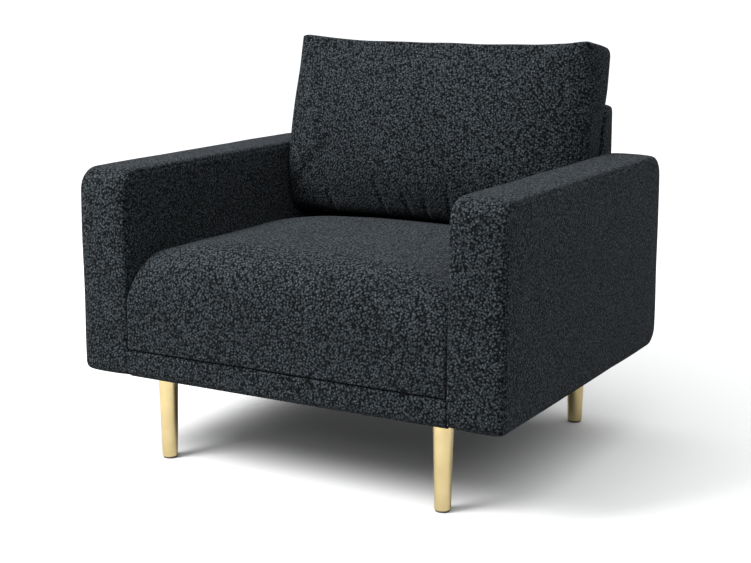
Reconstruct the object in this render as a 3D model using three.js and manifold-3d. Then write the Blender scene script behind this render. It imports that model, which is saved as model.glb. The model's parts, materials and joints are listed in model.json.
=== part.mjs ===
// Upholstered armchair: box arms, tight crowned seat, one loose back cushion and four screw-in metal legs.
// Millimetres, +Z up. The front faces -Y, and left and right are as seen from the front (left is -X).
// The origin is on the floor, under the middle of the arms.
import * as THREE from "three";
import { mergeVertices } from "three/addons/utils/BufferGeometryUtils.js";
import Module from "manifold-3d";

// ---- Driving dimensions ----

// The whole chair
const WIDTH = 890; // across the outsides of the arms
const DEPTH = 754; // front of the arms to the back of the arms
const BODY_BOTTOM = 172; // floor to the underside of the upholstery
const GAP = 0.5; // between neighbours that touch on the real chair

// Arms
const ARM_WIDTH = 107;
const ARM_TOP = 567; // floor to the top of an arm
const ARM_TOP_RADIUS = 43; // front and back top corners of the arm's side outline
const ARM_HEEL_RADIUS = 40; // back bottom corner
const ARM_TOE_RADIUS = 18; // front bottom corner
const ARM_EDGE_RADIUS = 12; // soft edge between an arm's faces and its rim
const ARM_SKIN = 12; // fabric with its bonded foam
const POST_DEPTH = 45;
const ARM_BOARD = 5; // thickness of the board that backs an arm's outer face
const ARM_TOP_RAIL = 26;
const ARM_LOWER_RAIL = 30; // thickness
const ARM_LOWER_RAIL_HEIGHT = 80;

// Seat frame
const RAIL = 22; // thickness of the four seat rails and of the back frame's timbers
const RAIL_HEIGHT = 114;
const RAIL_LIFT = 5; // underside of the upholstery to the underside of the rails
const FACING_HEIGHT = 52; // visible fabric strip under the seat's front seam
const SEAT_SKIN = 10; // fabric with its wadding
const SEAT_SIDE_SKIN = 4;

// Webbing straps under the seat foam
const STRAP_WIDTH = 60;
const STRAP = 1.6; // thickness
const STRAP_GAP = 0.4; // between two straps where they cross
const LONG_STRAPS = 4;
const CROSS_STRAPS = 2;
const LONG_STRAP_PITCH = 140;
const CROSS_STRAP_PITCH = 220;
const STRAP_GRIP = 16; // how much of a strap's end lies on its rail

// Seat cushion, fixed to the frame
const SEAT_CROWN = 437; // floor to the top of the crowned seat
const SEAT_SIDE_DROP = 40; // how far the seat's top beside the arms lies under the crown
const SEAT_CROWN_FLAT = 130; // half width of the flattest stretch of the crown
const SEAT_FRONT_RADIUS = 60;

// Back frame, between the arms
const BACK_TOP = 662; // floor to the top of the padded back frame
const BACK_TOP_DEPTH = 45; // padded thickness at the top
const BACK_LEAN = 9.2; // degrees that its front face and the cushion lean back
const BACK_FOOT_DROP = 35; // the front face is upright from this far under the seat's crown
const BACK_SKIN = 8;
const BACK_EDGE_RADIUS = 15;
const BACK_BOARD = 3;
const UPRIGHT_WIDTH = 60;

// Loose back cushion, in its own leaning frame
const CUSHION_HEIGHT = 381;
const CUSHION_SIDE_DEPTH = 105; // thickness at its sewn edges
const CUSHION_CROWN = 62; // how far its front stands proud of its edges
const CUSHION_SIDE_GAP = 2; // to each arm
const CUSHION_SKIN = 8;
const CUSHION_GRID = [16, 2, 10]; // steps across, through and up, which its crown bends between
const CUSHION_TRAVEL_GAP = 1.5; // to the back frame and the seat
const ZIP_LENGTH = 560;
const ZIP_WIDTH = 24;
const ZIP_TAPE = 1.5;
const SLIDER = { length: 14, width: 10, depth: 4.5 };

// Legs
const LEG_SIDE_INSET = 40; // arm's inner face to the leg's axis
const LEG_END_INSET = 73; // front or back of the arms to the leg's axis
const LEG_TOP_RADIUS = 19.5;
const LEG_FOOT_RADIUS = 15;
const LEG_WALL = 2;
const LEG_CAP = 10; // thickness of the leg's closed top
const LEG_RIM_RADIUS = 2; // rounding of the leg's lower rim
const GLIDE = 3; // thickness of the plastic glide under a leg
const GLIDE_INSET = 1.5; // the glide is this much smaller than the leg's foot
const GLIDE_PLUG = 14;
const STUD_RADIUS = 4;
const STUD_IN_LEG = 30;
const STUD_ABOVE_PLATE = 45;
const THREAD_CLEARANCE = 0.3;
const PLATE = 3;
const PLATE_SIZE = 60;
const BLOCK_SIZE = 96;
const BLOCK_HEIGHT = 60;
const BLOCK_CHAMFER = 40;

// Underside cloth and arm bolts
const CLOTH = 1.2;
const CLOTH_HOLE_CLEARANCE = 5; // around each leg
const BOLT_RADIUS = 4;
const BOLT_HOLE_CLEARANCE = 0.5;
const BOLT_HEAD_RADIUS = 8;
const BOLT_HEAD = 5;
const BOLT_GRIP = 24; // how far a bolt reaches into the arm's lower rail
const BOLT_BLOCK_CLEARANCE = 30; // between a bolt's head and the nearest corner block
const BOLT_LIFT = 60; // underside of the upholstery to a bolt's axis

// How finely round shapes are cut
const ARC_SEGMENTS = 8;
const BEVEL_SEGMENTS = 3;
const ROUND_SEGMENTS = 32;
const CROWN_SEGMENTS = 8;
const RIM_SEGMENTS = 3;
const OVERSHOOT = 40; // how far a cutting tool passes a face
const INNER_RADIUS = 1; // least corner radius of a cover's hollow
const CUSHION_CROWN_POWER = 4; // how evenly the cushion's crown spreads before it falls to its edges

// ---- Places that follow from them ----

const HALF_WIDTH = WIDTH / 2;
const HALF_DEPTH = DEPTH / 2;
const INNER = HALF_WIDTH - ARM_WIDTH; // middle of the chair to an arm's inner face
const SEAT_HALF = INNER - GAP;
const RAIL_BOTTOM = BODY_BOTTOM + RAIL_LIFT;
const RAIL_TOP = RAIL_BOTTOM + RAIL_HEIGHT;
const FRONT_RAIL_FACE = -HALF_DEPTH + SEAT_SKIN + GAP;
const UPRIGHT_BACK = HALF_DEPTH - BACK_SKIN - GAP;
const UPRIGHT_FRONT = UPRIGHT_BACK - RAIL;
const BACK_RAIL_BACK = UPRIGHT_FRONT - GAP;
const BACK_RAIL_FRONT = BACK_RAIL_BACK - RAIL;
const SEAM_HEIGHT = BODY_BOTTOM + FACING_HEIGHT;
const STRAP_OFFSET = (STRAP + STRAP_GAP) / 2;
const STRAP_HEIGHT = RAIL_TOP + GAP + STRAP / 2;
const FOAM_BOTTOM = STRAP_HEIGHT + STRAP_OFFSET + STRAP / 2 + GAP;
const BACK_FOOT_HEIGHT = SEAT_CROWN - BACK_FOOT_DROP;
const LEAN = THREE.MathUtils.degToRad(BACK_LEAN);
const BACK_TOP_FACE = HALF_DEPTH - BACK_TOP_DEPTH;
const BACK_FOOT_FACE = BACK_TOP_FACE - (BACK_TOP - BACK_FOOT_HEIGHT) * Math.tan(LEAN);
const SEAT_BACK = BACK_FOOT_FACE - GAP;
// The seat slopes down under the loose cushion, parallel to the cushion's underside.
const SEAT_BACK_HEIGHT = BACK_FOOT_HEIGHT - CUSHION_TRAVEL_GAP;
const SEAT_CROWN_BACK = SEAT_BACK - (SEAT_CROWN - SEAT_BACK_HEIGHT) / Math.tan(LEAN);
const CUSHION_HALF = INNER - CUSHION_SIDE_GAP;
const LEG_X = INNER - LEG_SIDE_INSET;
const LEG_Y = HALF_DEPTH - LEG_END_INSET;
const PLATE_BOTTOM = RAIL_BOTTOM - GAP - PLATE;
const LEG_TOP = PLATE_BOTTOM - GAP;
const LEG_BOTTOM = GLIDE + GAP;
const BOLT_Y = BACK_RAIL_FRONT - GAP - BLOCK_SIZE - BOLT_BLOCK_CLEARANCE - BOLT_HEAD_RADIUS;
const BOLT_HEIGHT = BODY_BOTTOM + BOLT_LIFT;
const STUD_TOP = PLATE_BOTTOM + STUD_ABOVE_PLATE;
const CUSHION_ORIGIN = new THREE.Vector3(
  0,
  BACK_FOOT_FACE - CUSHION_TRAVEL_GAP / Math.cos(LEAN),
  BACK_FOOT_HEIGHT,
);

// ---- Materials ----

const paint = (color, roughness, metalness = 0) =>
  new THREE.MeshStandardMaterial({ color, roughness, metalness });
const fabric = paint(0x33373b, 0.95);
const brass = paint(0xd9c08a, 0.3, 1);
const timber = paint(0xc9a878, 0.75);
const board = paint(0xa98a5f, 0.85);
const foam = paint(0xe8dcb4, 0.95);
const filling = paint(0xf2f0ea, 1);
const webbing = paint(0x2b2b2b, 0.9);
const cloth = paint(0x1c1c1c, 1);
const steel = paint(0xb8bcc0, 0.35, 1);
const plastic = paint(0x2a2622, 0.6);

// ---- Solid modelling helpers ----

const wasm = await Module();
wasm.setup();

// A closed three.js geometry as a manifold-3d solid.
function solid(geometry) {
  const bare = geometry.clone();
  bare.deleteAttribute("normal");
  bare.deleteAttribute("uv");
  const merged = mergeVertices(bare, 1e-4);
  return new wasm.Manifold(
    new wasm.Mesh({
      numProp: 3,
      vertProperties: new Float32Array(merged.attributes.position.array),
      triVerts: new Uint32Array(merged.index.array),
    }),
  );
}

// A manifold-3d solid as a three.js geometry.
function geometryOf(made) {
  const mesh = made.getMesh();
  const geometry = new THREE.BufferGeometry();
  geometry.setAttribute("position", new THREE.BufferAttribute(mesh.vertProperties, 3));
  geometry.setIndex(new THREE.BufferAttribute(mesh.triVerts, 1));
  geometry.computeVertexNormals();
  return geometry;
}

// A box from its two corners.
function box([x0, y0, z0], [x1, y1, z1]) {
  const geometry = new THREE.BoxGeometry(x1 - x0, y1 - y0, z1 - z0);
  geometry.translate((x0 + x1) / 2, (y0 + y1) / 2, (z0 + z1) / 2);
  return solid(geometry);
}

// The same box on the left (side -1) or on the right (side 1), given as on the right.
function sideBox(side, [x0, y0, z0], [x1, y1, z1]) {
  return side > 0 ? box([x0, y0, z0], [x1, y1, z1]) : box([-x1, y0, z0], [-x0, y1, z1]);
}

// A closed outline with a round corner at each point: [x, y, radius].
function outline(corners) {
  const shape = new THREE.Shape();
  corners.forEach(([x, y, radius], i) => {
    const at = new THREE.Vector2(x, y);
    const before = corners.at(i - 1);
    const after = corners[(i + 1) % corners.length];
    const back = new THREE.Vector2(before[0], before[1]).sub(at).normalize();
    const on = new THREE.Vector2(after[0], after[1]).sub(at).normalize();
    if (radius <= 0) {
      i ? shape.lineTo(x, y) : shape.moveTo(x, y);
      return;
    }
    const half = Math.acos(back.dot(on)) / 2;
    const tangent = radius / Math.tan(half);
    const start = at.clone().addScaledVector(back, tangent);
    const end = at.clone().addScaledVector(on, tangent);
    const middle = back.clone().add(on).normalize();
    const centre = at.clone().addScaledVector(middle, radius / Math.sin(half));
    const clockwise = back.cross(on) > 0;
    const from = Math.atan2(start.y - centre.y, start.x - centre.x);
    const to = Math.atan2(end.y - centre.y, end.x - centre.x);
    i ? shape.lineTo(start.x, start.y) : shape.moveTo(start.x, start.y);
    shape.absarc(centre.x, centre.y, radius, from, to, clockwise);
  });
  shape.closePath();
  return shape;
}

// An outline drawn in the Y-Z plane, extruded from x0 to x1, with a soft edge if bevel is over 0.
function acrossX(shape, x0, x1, bevel = 0) {
  const geometry = new THREE.ExtrudeGeometry(shape, {
    depth: x1 - x0 - 2 * bevel,
    curveSegments: ARC_SEGMENTS,
    bevelEnabled: bevel > 0,
    bevelSize: bevel,
    bevelThickness: bevel,
    bevelOffset: -bevel,
    bevelSegments: BEVEL_SEGMENTS,
  });
  geometry.translate(0, 0, x0 + bevel);
  geometry.applyMatrix4(
    new THREE.Matrix4().makeBasis(
      new THREE.Vector3(0, 1, 0),
      new THREE.Vector3(0, 0, 1),
      new THREE.Vector3(1, 0, 0),
    ),
  );
  return solid(geometry);
}

// An outline drawn in the X-Z plane, extruded from y0 to y1.
function alongY(shape, y0, y1) {
  const geometry = new THREE.ExtrudeGeometry(shape, {
    depth: y1 - y0,
    curveSegments: ARC_SEGMENTS,
    bevelEnabled: false,
  });
  geometry.rotateX(Math.PI / 2);
  geometry.translate(0, y1, 0);
  return solid(geometry);
}

// An outline drawn in the X-Y plane, extruded from z0 to z1.
function upZ(shape, z0, z1) {
  const geometry = new THREE.ExtrudeGeometry(shape, {
    depth: z1 - z0,
    curveSegments: ARC_SEGMENTS,
    bevelEnabled: false,
  });
  geometry.translate(0, 0, z0);
  return solid(geometry);
}

// A round bar along Z or X.
function roundBar(radius, x, y, z, length, axis = "z") {
  const geometry = new THREE.CylinderGeometry(radius, radius, length, ROUND_SEGMENTS);
  if (axis === "x") geometry.rotateZ(Math.PI / 2);
  else geometry.rotateX(Math.PI / 2);
  geometry.translate(x, y, z);
  return solid(geometry);
}

// A turned shape around Z: profile points are [radius, height], from axis to axis.
function turned(profile, x, y) {
  const points = profile.map(([radius, height]) => new THREE.Vector2(radius, height));
  const geometry = new THREE.LatheGeometry(points, ROUND_SEGMENTS);
  geometry.rotateX(Math.PI / 2);
  geometry.translate(x, y, 0);
  return solid(geometry);
}

const chair = new THREE.Group();

function add(name, made, material) {
  const mesh = new THREE.Mesh(geometryOf(made), material);
  mesh.name = name;
  chair.add(mesh);
  return made;
}

const SIDES = [
  ["left", -1],
  ["right", 1],
];
const ENDS = [
  ["front", -1],
  ["back", 1],
];

// ---- Arms ----

// The arm's side outline in the Y-Z plane, drawn in by inset on every side.
function armOutline(inset) {
  const front = -HALF_DEPTH + inset;
  const back = HALF_DEPTH - inset;
  const low = BODY_BOTTOM + inset;
  const high = ARM_TOP - inset;
  const round = (radius) => Math.max(radius - inset, INNER_RADIUS);
  return outline([
    [front, low, round(ARM_TOE_RADIUS)],
    [back, low, round(ARM_HEEL_RADIUS)],
    [back, high, round(ARM_TOP_RADIUS)],
    [front, high, round(ARM_TOP_RADIUS)],
  ]);
}

// The holes that the arm bolts pass through, on one side of the chair. They end half way into the arm.
function boltHoles(side) {
  const length = 2 * (ARM_WIDTH / 2 + RAIL);
  return [-1, 1].map((end) =>
    roundBar(
      BOLT_RADIUS + BOLT_HOLE_CLEARANCE,
      side * INNER,
      end * BOLT_Y,
      BOLT_HEIGHT,
      length,
      "x",
    ),
  );
}

function cutBoltHoles(made, side) {
  return boltHoles(side).reduce((rest, hole) => rest.subtract(hole), made);
}

const ARM_CAVITY = [INNER + ARM_SKIN + GAP, HALF_WIDTH - ARM_SKIN - GAP];
const ARM_LOW = BODY_BOTTOM + ARM_SKIN + GAP;
const POST_FACE = HALF_DEPTH - ARM_SKIN - GAP; // middle of the chair to a post's outer end
const POST_INNER = POST_FACE - POST_DEPTH;
const POST_TOP = ARM_TOP - ARM_TOP_RADIUS;
const POST_OUTER = ARM_CAVITY[1] - ARM_BOARD - GAP;

// The cover closes all round its arm: only the two bolt holes lead in.
function armCover(side) {
  const [x0, x1] = side > 0 ? [INNER, HALF_WIDTH] : [-HALF_WIDTH, -INNER];
  const hollow = acrossX(armOutline(ARM_SKIN), x0 + ARM_SKIN, x1 - ARM_SKIN);
  return cutBoltHoles(acrossX(armOutline(0), x0, x1, ARM_EDGE_RADIUS).subtract(hollow), side);
}

function armPost(side, end) {
  const low = end > 0 ? BODY_BOTTOM + ARM_HEEL_RADIUS : ARM_LOW;
  const [y0, y1] = end > 0 ? [POST_INNER, POST_FACE] : [-POST_FACE, -POST_INNER];
  const toe = end > 0 ? 0 : ARM_TOE_RADIUS;
  return sideBox(side, [ARM_CAVITY[0], y0, low + toe], [POST_OUTER, y1, POST_TOP]);
}

function armTopRail(side) {
  const reach = HALF_DEPTH - ARM_TOP_RADIUS;
  const top = ARM_TOP - ARM_SKIN - GAP;
  return sideBox(
    side,
    [ARM_CAVITY[0], -reach, Math.max(POST_TOP + GAP, top - ARM_TOP_RAIL)],
    [POST_OUTER, reach, top],
  );
}

function armLowerRail(side) {
  const rail = sideBox(
    side,
    [ARM_CAVITY[0], -POST_INNER + GAP, ARM_LOW],
    [ARM_CAVITY[0] + ARM_LOWER_RAIL, POST_INNER - GAP, ARM_LOW + ARM_LOWER_RAIL_HEIGHT],
  );
  return cutBoltHoles(rail, side);
}

function armBoard(side) {
  const inset = ARM_SKIN + GAP;
  const [x0, x1] = [ARM_CAVITY[1] - ARM_BOARD, ARM_CAVITY[1]];
  return side > 0
    ? acrossX(armOutline(inset), x0, x1)
    : acrossX(armOutline(inset), -x1, -x0);
}

for (const [sideName, side] of SIDES) {
  add(`arm_cover_${sideName}`, armCover(side), fabric);
  for (const [endName, end] of ENDS) {
    add(`arm_post_${endName}_${sideName}`, armPost(side, end), timber);
  }
  add(`arm_top_rail_${sideName}`, armTopRail(side), timber);
  add(`arm_lower_rail_${sideName}`, armLowerRail(side), timber);
  add(`arm_board_${sideName}`, armBoard(side), board);
}

// ---- Seat frame ----

function seatRail(y0, y1) {
  return box([-SEAT_HALF, y0, RAIL_BOTTOM], [SEAT_HALF, y1, RAIL_TOP]);
}

add("front_rail", seatRail(FRONT_RAIL_FACE, FRONT_RAIL_FACE + RAIL), timber);
add("back_rail", seatRail(BACK_RAIL_FRONT, BACK_RAIL_BACK), timber);

function sideRail(side) {
  const rail = sideBox(
    side,
    [SEAT_HALF - RAIL, FRONT_RAIL_FACE + RAIL + GAP, RAIL_BOTTOM],
    [SEAT_HALF, BACK_RAIL_FRONT - GAP, RAIL_TOP],
  );
  return cutBoltHoles(rail, side);
}

// A bolt runs from inside the seat frame, through the side rail, into the arm's lower rail.
function armBolt(side, end) {
  const headFace = SEAT_HALF - RAIL - GAP;
  const tip = ARM_CAVITY[0] + BOLT_GRIP;
  const y = end * BOLT_Y;
  const head = roundBar(
    BOLT_HEAD_RADIUS,
    side * (headFace - BOLT_HEAD / 2),
    y,
    BOLT_HEIGHT,
    BOLT_HEAD,
    "x",
  );
  const shankStart = headFace - BOLT_HEAD / 2;
  const shank = roundBar(
    BOLT_RADIUS,
    (side * (shankStart + tip)) / 2,
    y,
    BOLT_HEIGHT,
    tip - shankStart,
    "x",
  );
  return head.add(shank);
}

// A corner block fills a corner of the seat frame, with its free corners cut off.
function cornerBlock(side, end) {
  const x1 = SEAT_HALF - RAIL - GAP;
  const x0 = x1 - BLOCK_SIZE;
  const face = end < 0 ? -(FRONT_RAIL_FACE + RAIL + GAP) : BACK_RAIL_FRONT - GAP;
  const inner = face - BLOCK_SIZE;
  const corners = [
    [x0 + BLOCK_CHAMFER, inner],
    [x1, inner],
    [x1, face],
    [x0, face],
    [x0, inner + BLOCK_CHAMFER],
  ].map(([x, y]) => [side * x, end * y, 0]);
  const block = upZ(outline(corners), RAIL_BOTTOM, RAIL_BOTTOM + BLOCK_HEIGHT);
  const hole = roundBar(
    STUD_RADIUS + THREAD_CLEARANCE,
    side * LEG_X,
    end * LEG_Y,
    RAIL_BOTTOM,
    2 * (BLOCK_HEIGHT + OVERSHOOT),
  );
  return block.subtract(hole);
}

for (const [sideName, side] of SIDES) {
  add(`side_rail_${sideName}`, sideRail(side), timber);
  for (const [endName, end] of ENDS) {
    add(`arm_bolt_${endName}_${sideName}`, armBolt(side, end), steel);
    add(`corner_block_${endName}_${sideName}`, cornerBlock(side, end), timber);
  }
}

// ---- Webbing ----

const spread = (count, pitch) =>
  Array.from({ length: count }, (_, i) => (i - (count - 1) / 2) * pitch);
const LONG_AT = spread(LONG_STRAPS, LONG_STRAP_PITCH);
const CROSS_AT = spread(CROSS_STRAPS, CROSS_STRAP_PITCH);

// A strap's side outline: it passes over (1) or under (-1) each strap that it crosses.
function strapOutline(start, end, crossings, over) {
  const path = [[start, STRAP_HEIGHT]];
  crossings.forEach((at, i) => {
    const height = STRAP_HEIGHT + over(i) * STRAP_OFFSET;
    path.push([at - STRAP_WIDTH / 2 - STRAP, height]);
    path.push([at + STRAP_WIDTH / 2 + STRAP, height]);
  });
  path.push([end, STRAP_HEIGHT]);
  const under = path.map(([u, v]) => [u, v - STRAP / 2, 0]);
  const above = path.map(([u, v]) => [u, v + STRAP / 2, 0]).reverse();
  return outline([...under, ...above]);
}

LONG_AT.forEach((x, i) => {
  const shape = strapOutline(
    FRONT_RAIL_FACE + RAIL - STRAP_GRIP,
    BACK_RAIL_FRONT + STRAP_GRIP,
    CROSS_AT,
    (j) => ((i + j) % 2 ? 1 : -1),
  );
  const strap = acrossX(shape, x - STRAP_WIDTH / 2, x + STRAP_WIDTH / 2);
  add(`long_strap_${i + 1}`, strap, webbing);
});

CROSS_AT.forEach((y, j) => {
  const reach = SEAT_HALF - RAIL + STRAP_GRIP;
  const shape = strapOutline(-reach, reach, LONG_AT, (i) => ((i + j) % 2 ? -1 : 1));
  const strap = alongY(shape, y - STRAP_WIDTH / 2, y + STRAP_WIDTH / 2);
  add(`cross_strap_${j + 1}`, strap, webbing);
});

// ---- Seat ----

// The seat's side outline in the Y-Z plane, drawn in by inset at the front, top and back.
function seatSideOutline(inset, bottom) {
  const front = -HALF_DEPTH + inset;
  const back = SEAT_BACK - inset;
  return outline([
    [front, bottom, 0],
    [back, bottom, 0],
    [back, SEAT_BACK_HEIGHT - inset, 0],
    [SEAT_CROWN_BACK, SEAT_CROWN - inset, SEAT_FRONT_RADIUS],
    [front, SEAT_CROWN - inset, SEAT_FRONT_RADIUS - inset],
  ]);
}

// The seat's front outline in the X-Z plane: a flat crown that falls away to both arms.
function seatFrontOutline(half, inset, bottom) {
  const shape = new THREE.Shape();
  const height = (x) => {
    const t = Math.max(Math.abs(x) - SEAT_CROWN_FLAT, 0) / (SEAT_HALF - SEAT_CROWN_FLAT);
    return SEAT_CROWN - inset - SEAT_SIDE_DROP * t * t;
  };
  shape.moveTo(-half, bottom);
  shape.lineTo(half, bottom);
  for (let i = 0; i <= CROWN_SEGMENTS; i++) {
    const x = half + (SEAT_CROWN_FLAT - half) * (i / CROWN_SEGMENTS);
    shape.lineTo(x, height(x));
  }
  for (let i = 0; i <= CROWN_SEGMENTS; i++) {
    const x = -SEAT_CROWN_FLAT + (SEAT_CROWN_FLAT - half) * (i / CROWN_SEGMENTS);
    shape.lineTo(x, height(x));
  }
  shape.closePath();
  return shape;
}

function seatBlock(inset, half, bottom) {
  return acrossX(seatSideOutline(inset, bottom), -half, half).intersect(
    alongY(seatFrontOutline(half, inset, bottom), -HALF_DEPTH, SEAT_BACK),
  );
}

// The cover's front runs down to the seam; its other sides end on the rails.
function seatCover() {
  const low = SEAM_HEIGHT + GAP;
  const outer = seatBlock(0, SEAT_HALF, low);
  const hollow = seatBlock(SEAT_SKIN, SEAT_HALF - SEAT_SIDE_SKIN, low - OVERSHOOT);
  const frameSpace = box(
    [-HALF_WIDTH, -HALF_DEPTH + SEAT_SKIN, low - OVERSHOOT],
    [HALF_WIDTH, HALF_DEPTH, FOAM_BOTTOM],
  );
  return outer.subtract(hollow).subtract(frameSpace);
}

add("seat_cover", seatCover(), fabric);
add(
  "seat_foam",
  seatBlock(SEAT_SKIN + GAP, SEAT_HALF - SEAT_SIDE_SKIN - GAP, FOAM_BOTTOM + GAP),
  foam,
);
add(
  "front_rail_facing",
  box(
    [-SEAT_HALF, -HALF_DEPTH, BODY_BOTTOM],
    [SEAT_HALF, -HALF_DEPTH + SEAT_SKIN, SEAM_HEIGHT - GAP],
  ),
  fabric,
);

// ---- Back frame ----

const BACK_FOAM_BACK = UPRIGHT_FRONT - BACK_BOARD - 2 * GAP;

// The padded back's side outline in the Y-Z plane, drawn in by inset.
function backOutline(inset, low) {
  const slope = inset / Math.cos(LEAN);
  const top = BACK_TOP - inset;
  const topFace = BACK_TOP_FACE + slope - inset * Math.tan(LEAN);
  const round = inset > 0 ? INNER_RADIUS : BACK_EDGE_RADIUS;
  return outline([
    [BACK_FOOT_FACE + inset, low, 0],
    [HALF_DEPTH - inset, low, 0],
    [HALF_DEPTH - inset, top, round],
    [topFace, top, round],
    [BACK_FOOT_FACE + inset, BACK_FOOT_HEIGHT, 0],
  ]);
}

// The cover wraps the frame; its front ends on the back rail, behind the seat.
function backCover() {
  const shell = acrossX(backOutline(0, BODY_BOTTOM), -SEAT_HALF, SEAT_HALF);
  const hollow = acrossX(
    backOutline(BACK_SKIN, BODY_BOTTOM - OVERSHOOT),
    -SEAT_HALF + SEAT_SIDE_SKIN,
    SEAT_HALF - SEAT_SIDE_SKIN,
  );
  const railSpace = box(
    [-HALF_WIDTH, 0, BODY_BOTTOM - OVERSHOOT],
    [HALF_WIDTH, HALF_DEPTH - BACK_SKIN, FOAM_BOTTOM],
  );
  return shell.subtract(hollow).subtract(railSpace);
}

// Foam between the back board and the front of the cover.
function backFoam() {
  const half = SEAT_HALF - SEAT_SIDE_SKIN - GAP;
  const low = FOAM_BOTTOM + GAP;
  const pad = acrossX(backOutline(BACK_SKIN + GAP, low), -half, half);
  const behind = box(
    [-HALF_WIDTH, BACK_FOAM_BACK, low - OVERSHOOT],
    [HALF_WIDTH, HALF_DEPTH, BACK_TOP + OVERSHOOT],
  );
  return pad.subtract(behind);
}

const BACK_FRAME_HALF = SEAT_HALF - SEAT_SIDE_SKIN - GAP;
const UPRIGHT_TOP = BACK_TOP - BACK_SKIN - 2 * GAP;

function backUpright(side) {
  return sideBox(
    side,
    [BACK_FRAME_HALF - UPRIGHT_WIDTH, UPRIGHT_FRONT, RAIL_BOTTOM],
    [BACK_FRAME_HALF, UPRIGHT_BACK, UPRIGHT_TOP],
  );
}

add("back_cover", backCover(), fabric);
add("back_foam", backFoam(), foam);
for (const [sideName, side] of SIDES) {
  add(`back_upright_${sideName}`, backUpright(side), timber);
}
const topRailHalf = BACK_FRAME_HALF - UPRIGHT_WIDTH - GAP;
add(
  "back_top_rail",
  box(
    [-topRailHalf, UPRIGHT_FRONT, UPRIGHT_TOP - UPRIGHT_WIDTH],
    [topRailHalf, UPRIGHT_BACK, UPRIGHT_TOP],
  ),
  timber,
);
add(
  "back_board",
  box(
    [-BACK_FRAME_HALF, UPRIGHT_FRONT - GAP - BACK_BOARD, FOAM_BOTTOM + GAP],
    [BACK_FRAME_HALF, UPRIGHT_FRONT - GAP, UPRIGHT_TOP],
  ),
  board,
);

// ---- Loose back cushion ----
// It is drawn upright, with its back bottom edge on the X axis, then leaned back and set down.

// A boxed cushion: flat back, sewn edges of even depth and a front that crowns towards its middle.
function cushionBlock(inset) {
  const half = CUSHION_HALF - inset;
  const front = CUSHION_SIDE_DEPTH - inset;
  const depth = front - inset;
  const height = CUSHION_HEIGHT - 2 * inset;
  const geometry = new THREE.BoxGeometry(2 * half, depth, height, ...CUSHION_GRID);
  geometry.translate(0, -inset - depth / 2, CUSHION_HEIGHT / 2);
  const at = geometry.attributes.position;
  for (let i = 0; i < at.count; i++) {
    const across = 1 - (at.getX(i) / half) ** CUSHION_CROWN_POWER;
    const fromMiddle = (at.getZ(i) - CUSHION_HEIGHT / 2) / (height / 2);
    const up = 1 - fromMiddle ** CUSHION_CROWN_POWER;
    const forward = (-inset - at.getY(i)) / depth;
    at.setY(i, at.getY(i) - CUSHION_CROWN * across * up * forward);
  }
  return solid(geometry);
}

const place = (made) =>
  made
    .rotate([-BACK_LEAN, 0, 0])
    .translate([CUSHION_ORIGIN.x, CUSHION_ORIGIN.y, CUSHION_ORIGIN.z]);

// The zip runs along the middle of the cushion's underside.
const ZIP_Y = -CUSHION_SIDE_DEPTH / 2;
const zipSlit = box(
  [-ZIP_LENGTH / 2 - GAP, ZIP_Y - ZIP_WIDTH / 2 - GAP, -OVERSHOOT],
  [ZIP_LENGTH / 2 + GAP, ZIP_Y + ZIP_WIDTH / 2 + GAP, CUSHION_SKIN + OVERSHOOT],
);
const tapeBottom = CUSHION_SKIN - ZIP_TAPE;
const zipTape = box(
  [-ZIP_LENGTH / 2, ZIP_Y - ZIP_WIDTH / 2, tapeBottom],
  [ZIP_LENGTH / 2, ZIP_Y + ZIP_WIDTH / 2, CUSHION_SKIN],
);
const zipSlider = box(
  [-ZIP_LENGTH / 2, ZIP_Y - SLIDER.width / 2, tapeBottom - GAP - SLIDER.depth],
  [-ZIP_LENGTH / 2 + SLIDER.length, ZIP_Y + SLIDER.width / 2, tapeBottom - GAP],
);

const cushionCover = cushionBlock(0).subtract(cushionBlock(CUSHION_SKIN)).subtract(zipSlit);
add("cushion_cover", place(cushionCover), fabric);
add("cushion_filling", place(cushionBlock(CUSHION_SKIN + GAP)), filling);
add("cushion_zip_tape", place(zipTape), webbing);
add("cushion_zip_slider", place(zipSlider), steel);

// ---- Legs ----

const bore = STUD_RADIUS + THREAD_CLEARANCE;

// A tapered tube: open at the foot, closed at the top round the threaded stud.
function leg(x, y) {
  const radiusAt = (z) =>
    LEG_FOOT_RADIUS + ((LEG_TOP_RADIUS - LEG_FOOT_RADIUS) * (z - LEG_BOTTOM)) / (LEG_TOP - LEG_BOTTOM);
  const capBottom = LEG_TOP - LEG_CAP;
  const rimTop = LEG_BOTTOM + LEG_RIM_RADIUS;
  const rim = Array.from({ length: RIM_SEGMENTS + 1 }, (_, i) => {
    const turn = (i / RIM_SEGMENTS) * (Math.PI / 2);
    return [
      radiusAt(rimTop) - LEG_RIM_RADIUS * (1 - Math.sin(turn)),
      rimTop - LEG_RIM_RADIUS * Math.cos(turn),
    ];
  });
  const outside = turned(
    [
      [0, LEG_BOTTOM],
      ...rim,
      [LEG_TOP_RADIUS, LEG_TOP],
      [0, LEG_TOP],
    ],
    x,
    y,
  );
  const hollow = turned(
    [
      [0, LEG_BOTTOM - OVERSHOOT],
      [radiusAt(LEG_BOTTOM) - LEG_WALL, LEG_BOTTOM - OVERSHOOT],
      [radiusAt(LEG_BOTTOM) - LEG_WALL, LEG_BOTTOM],
      [radiusAt(capBottom) - LEG_WALL, capBottom],
      [0, capBottom],
    ],
    x,
    y,
  );
  return outside.subtract(hollow).subtract(roundBar(bore, x, y, LEG_TOP, 2 * OVERSHOOT));
}

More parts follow.
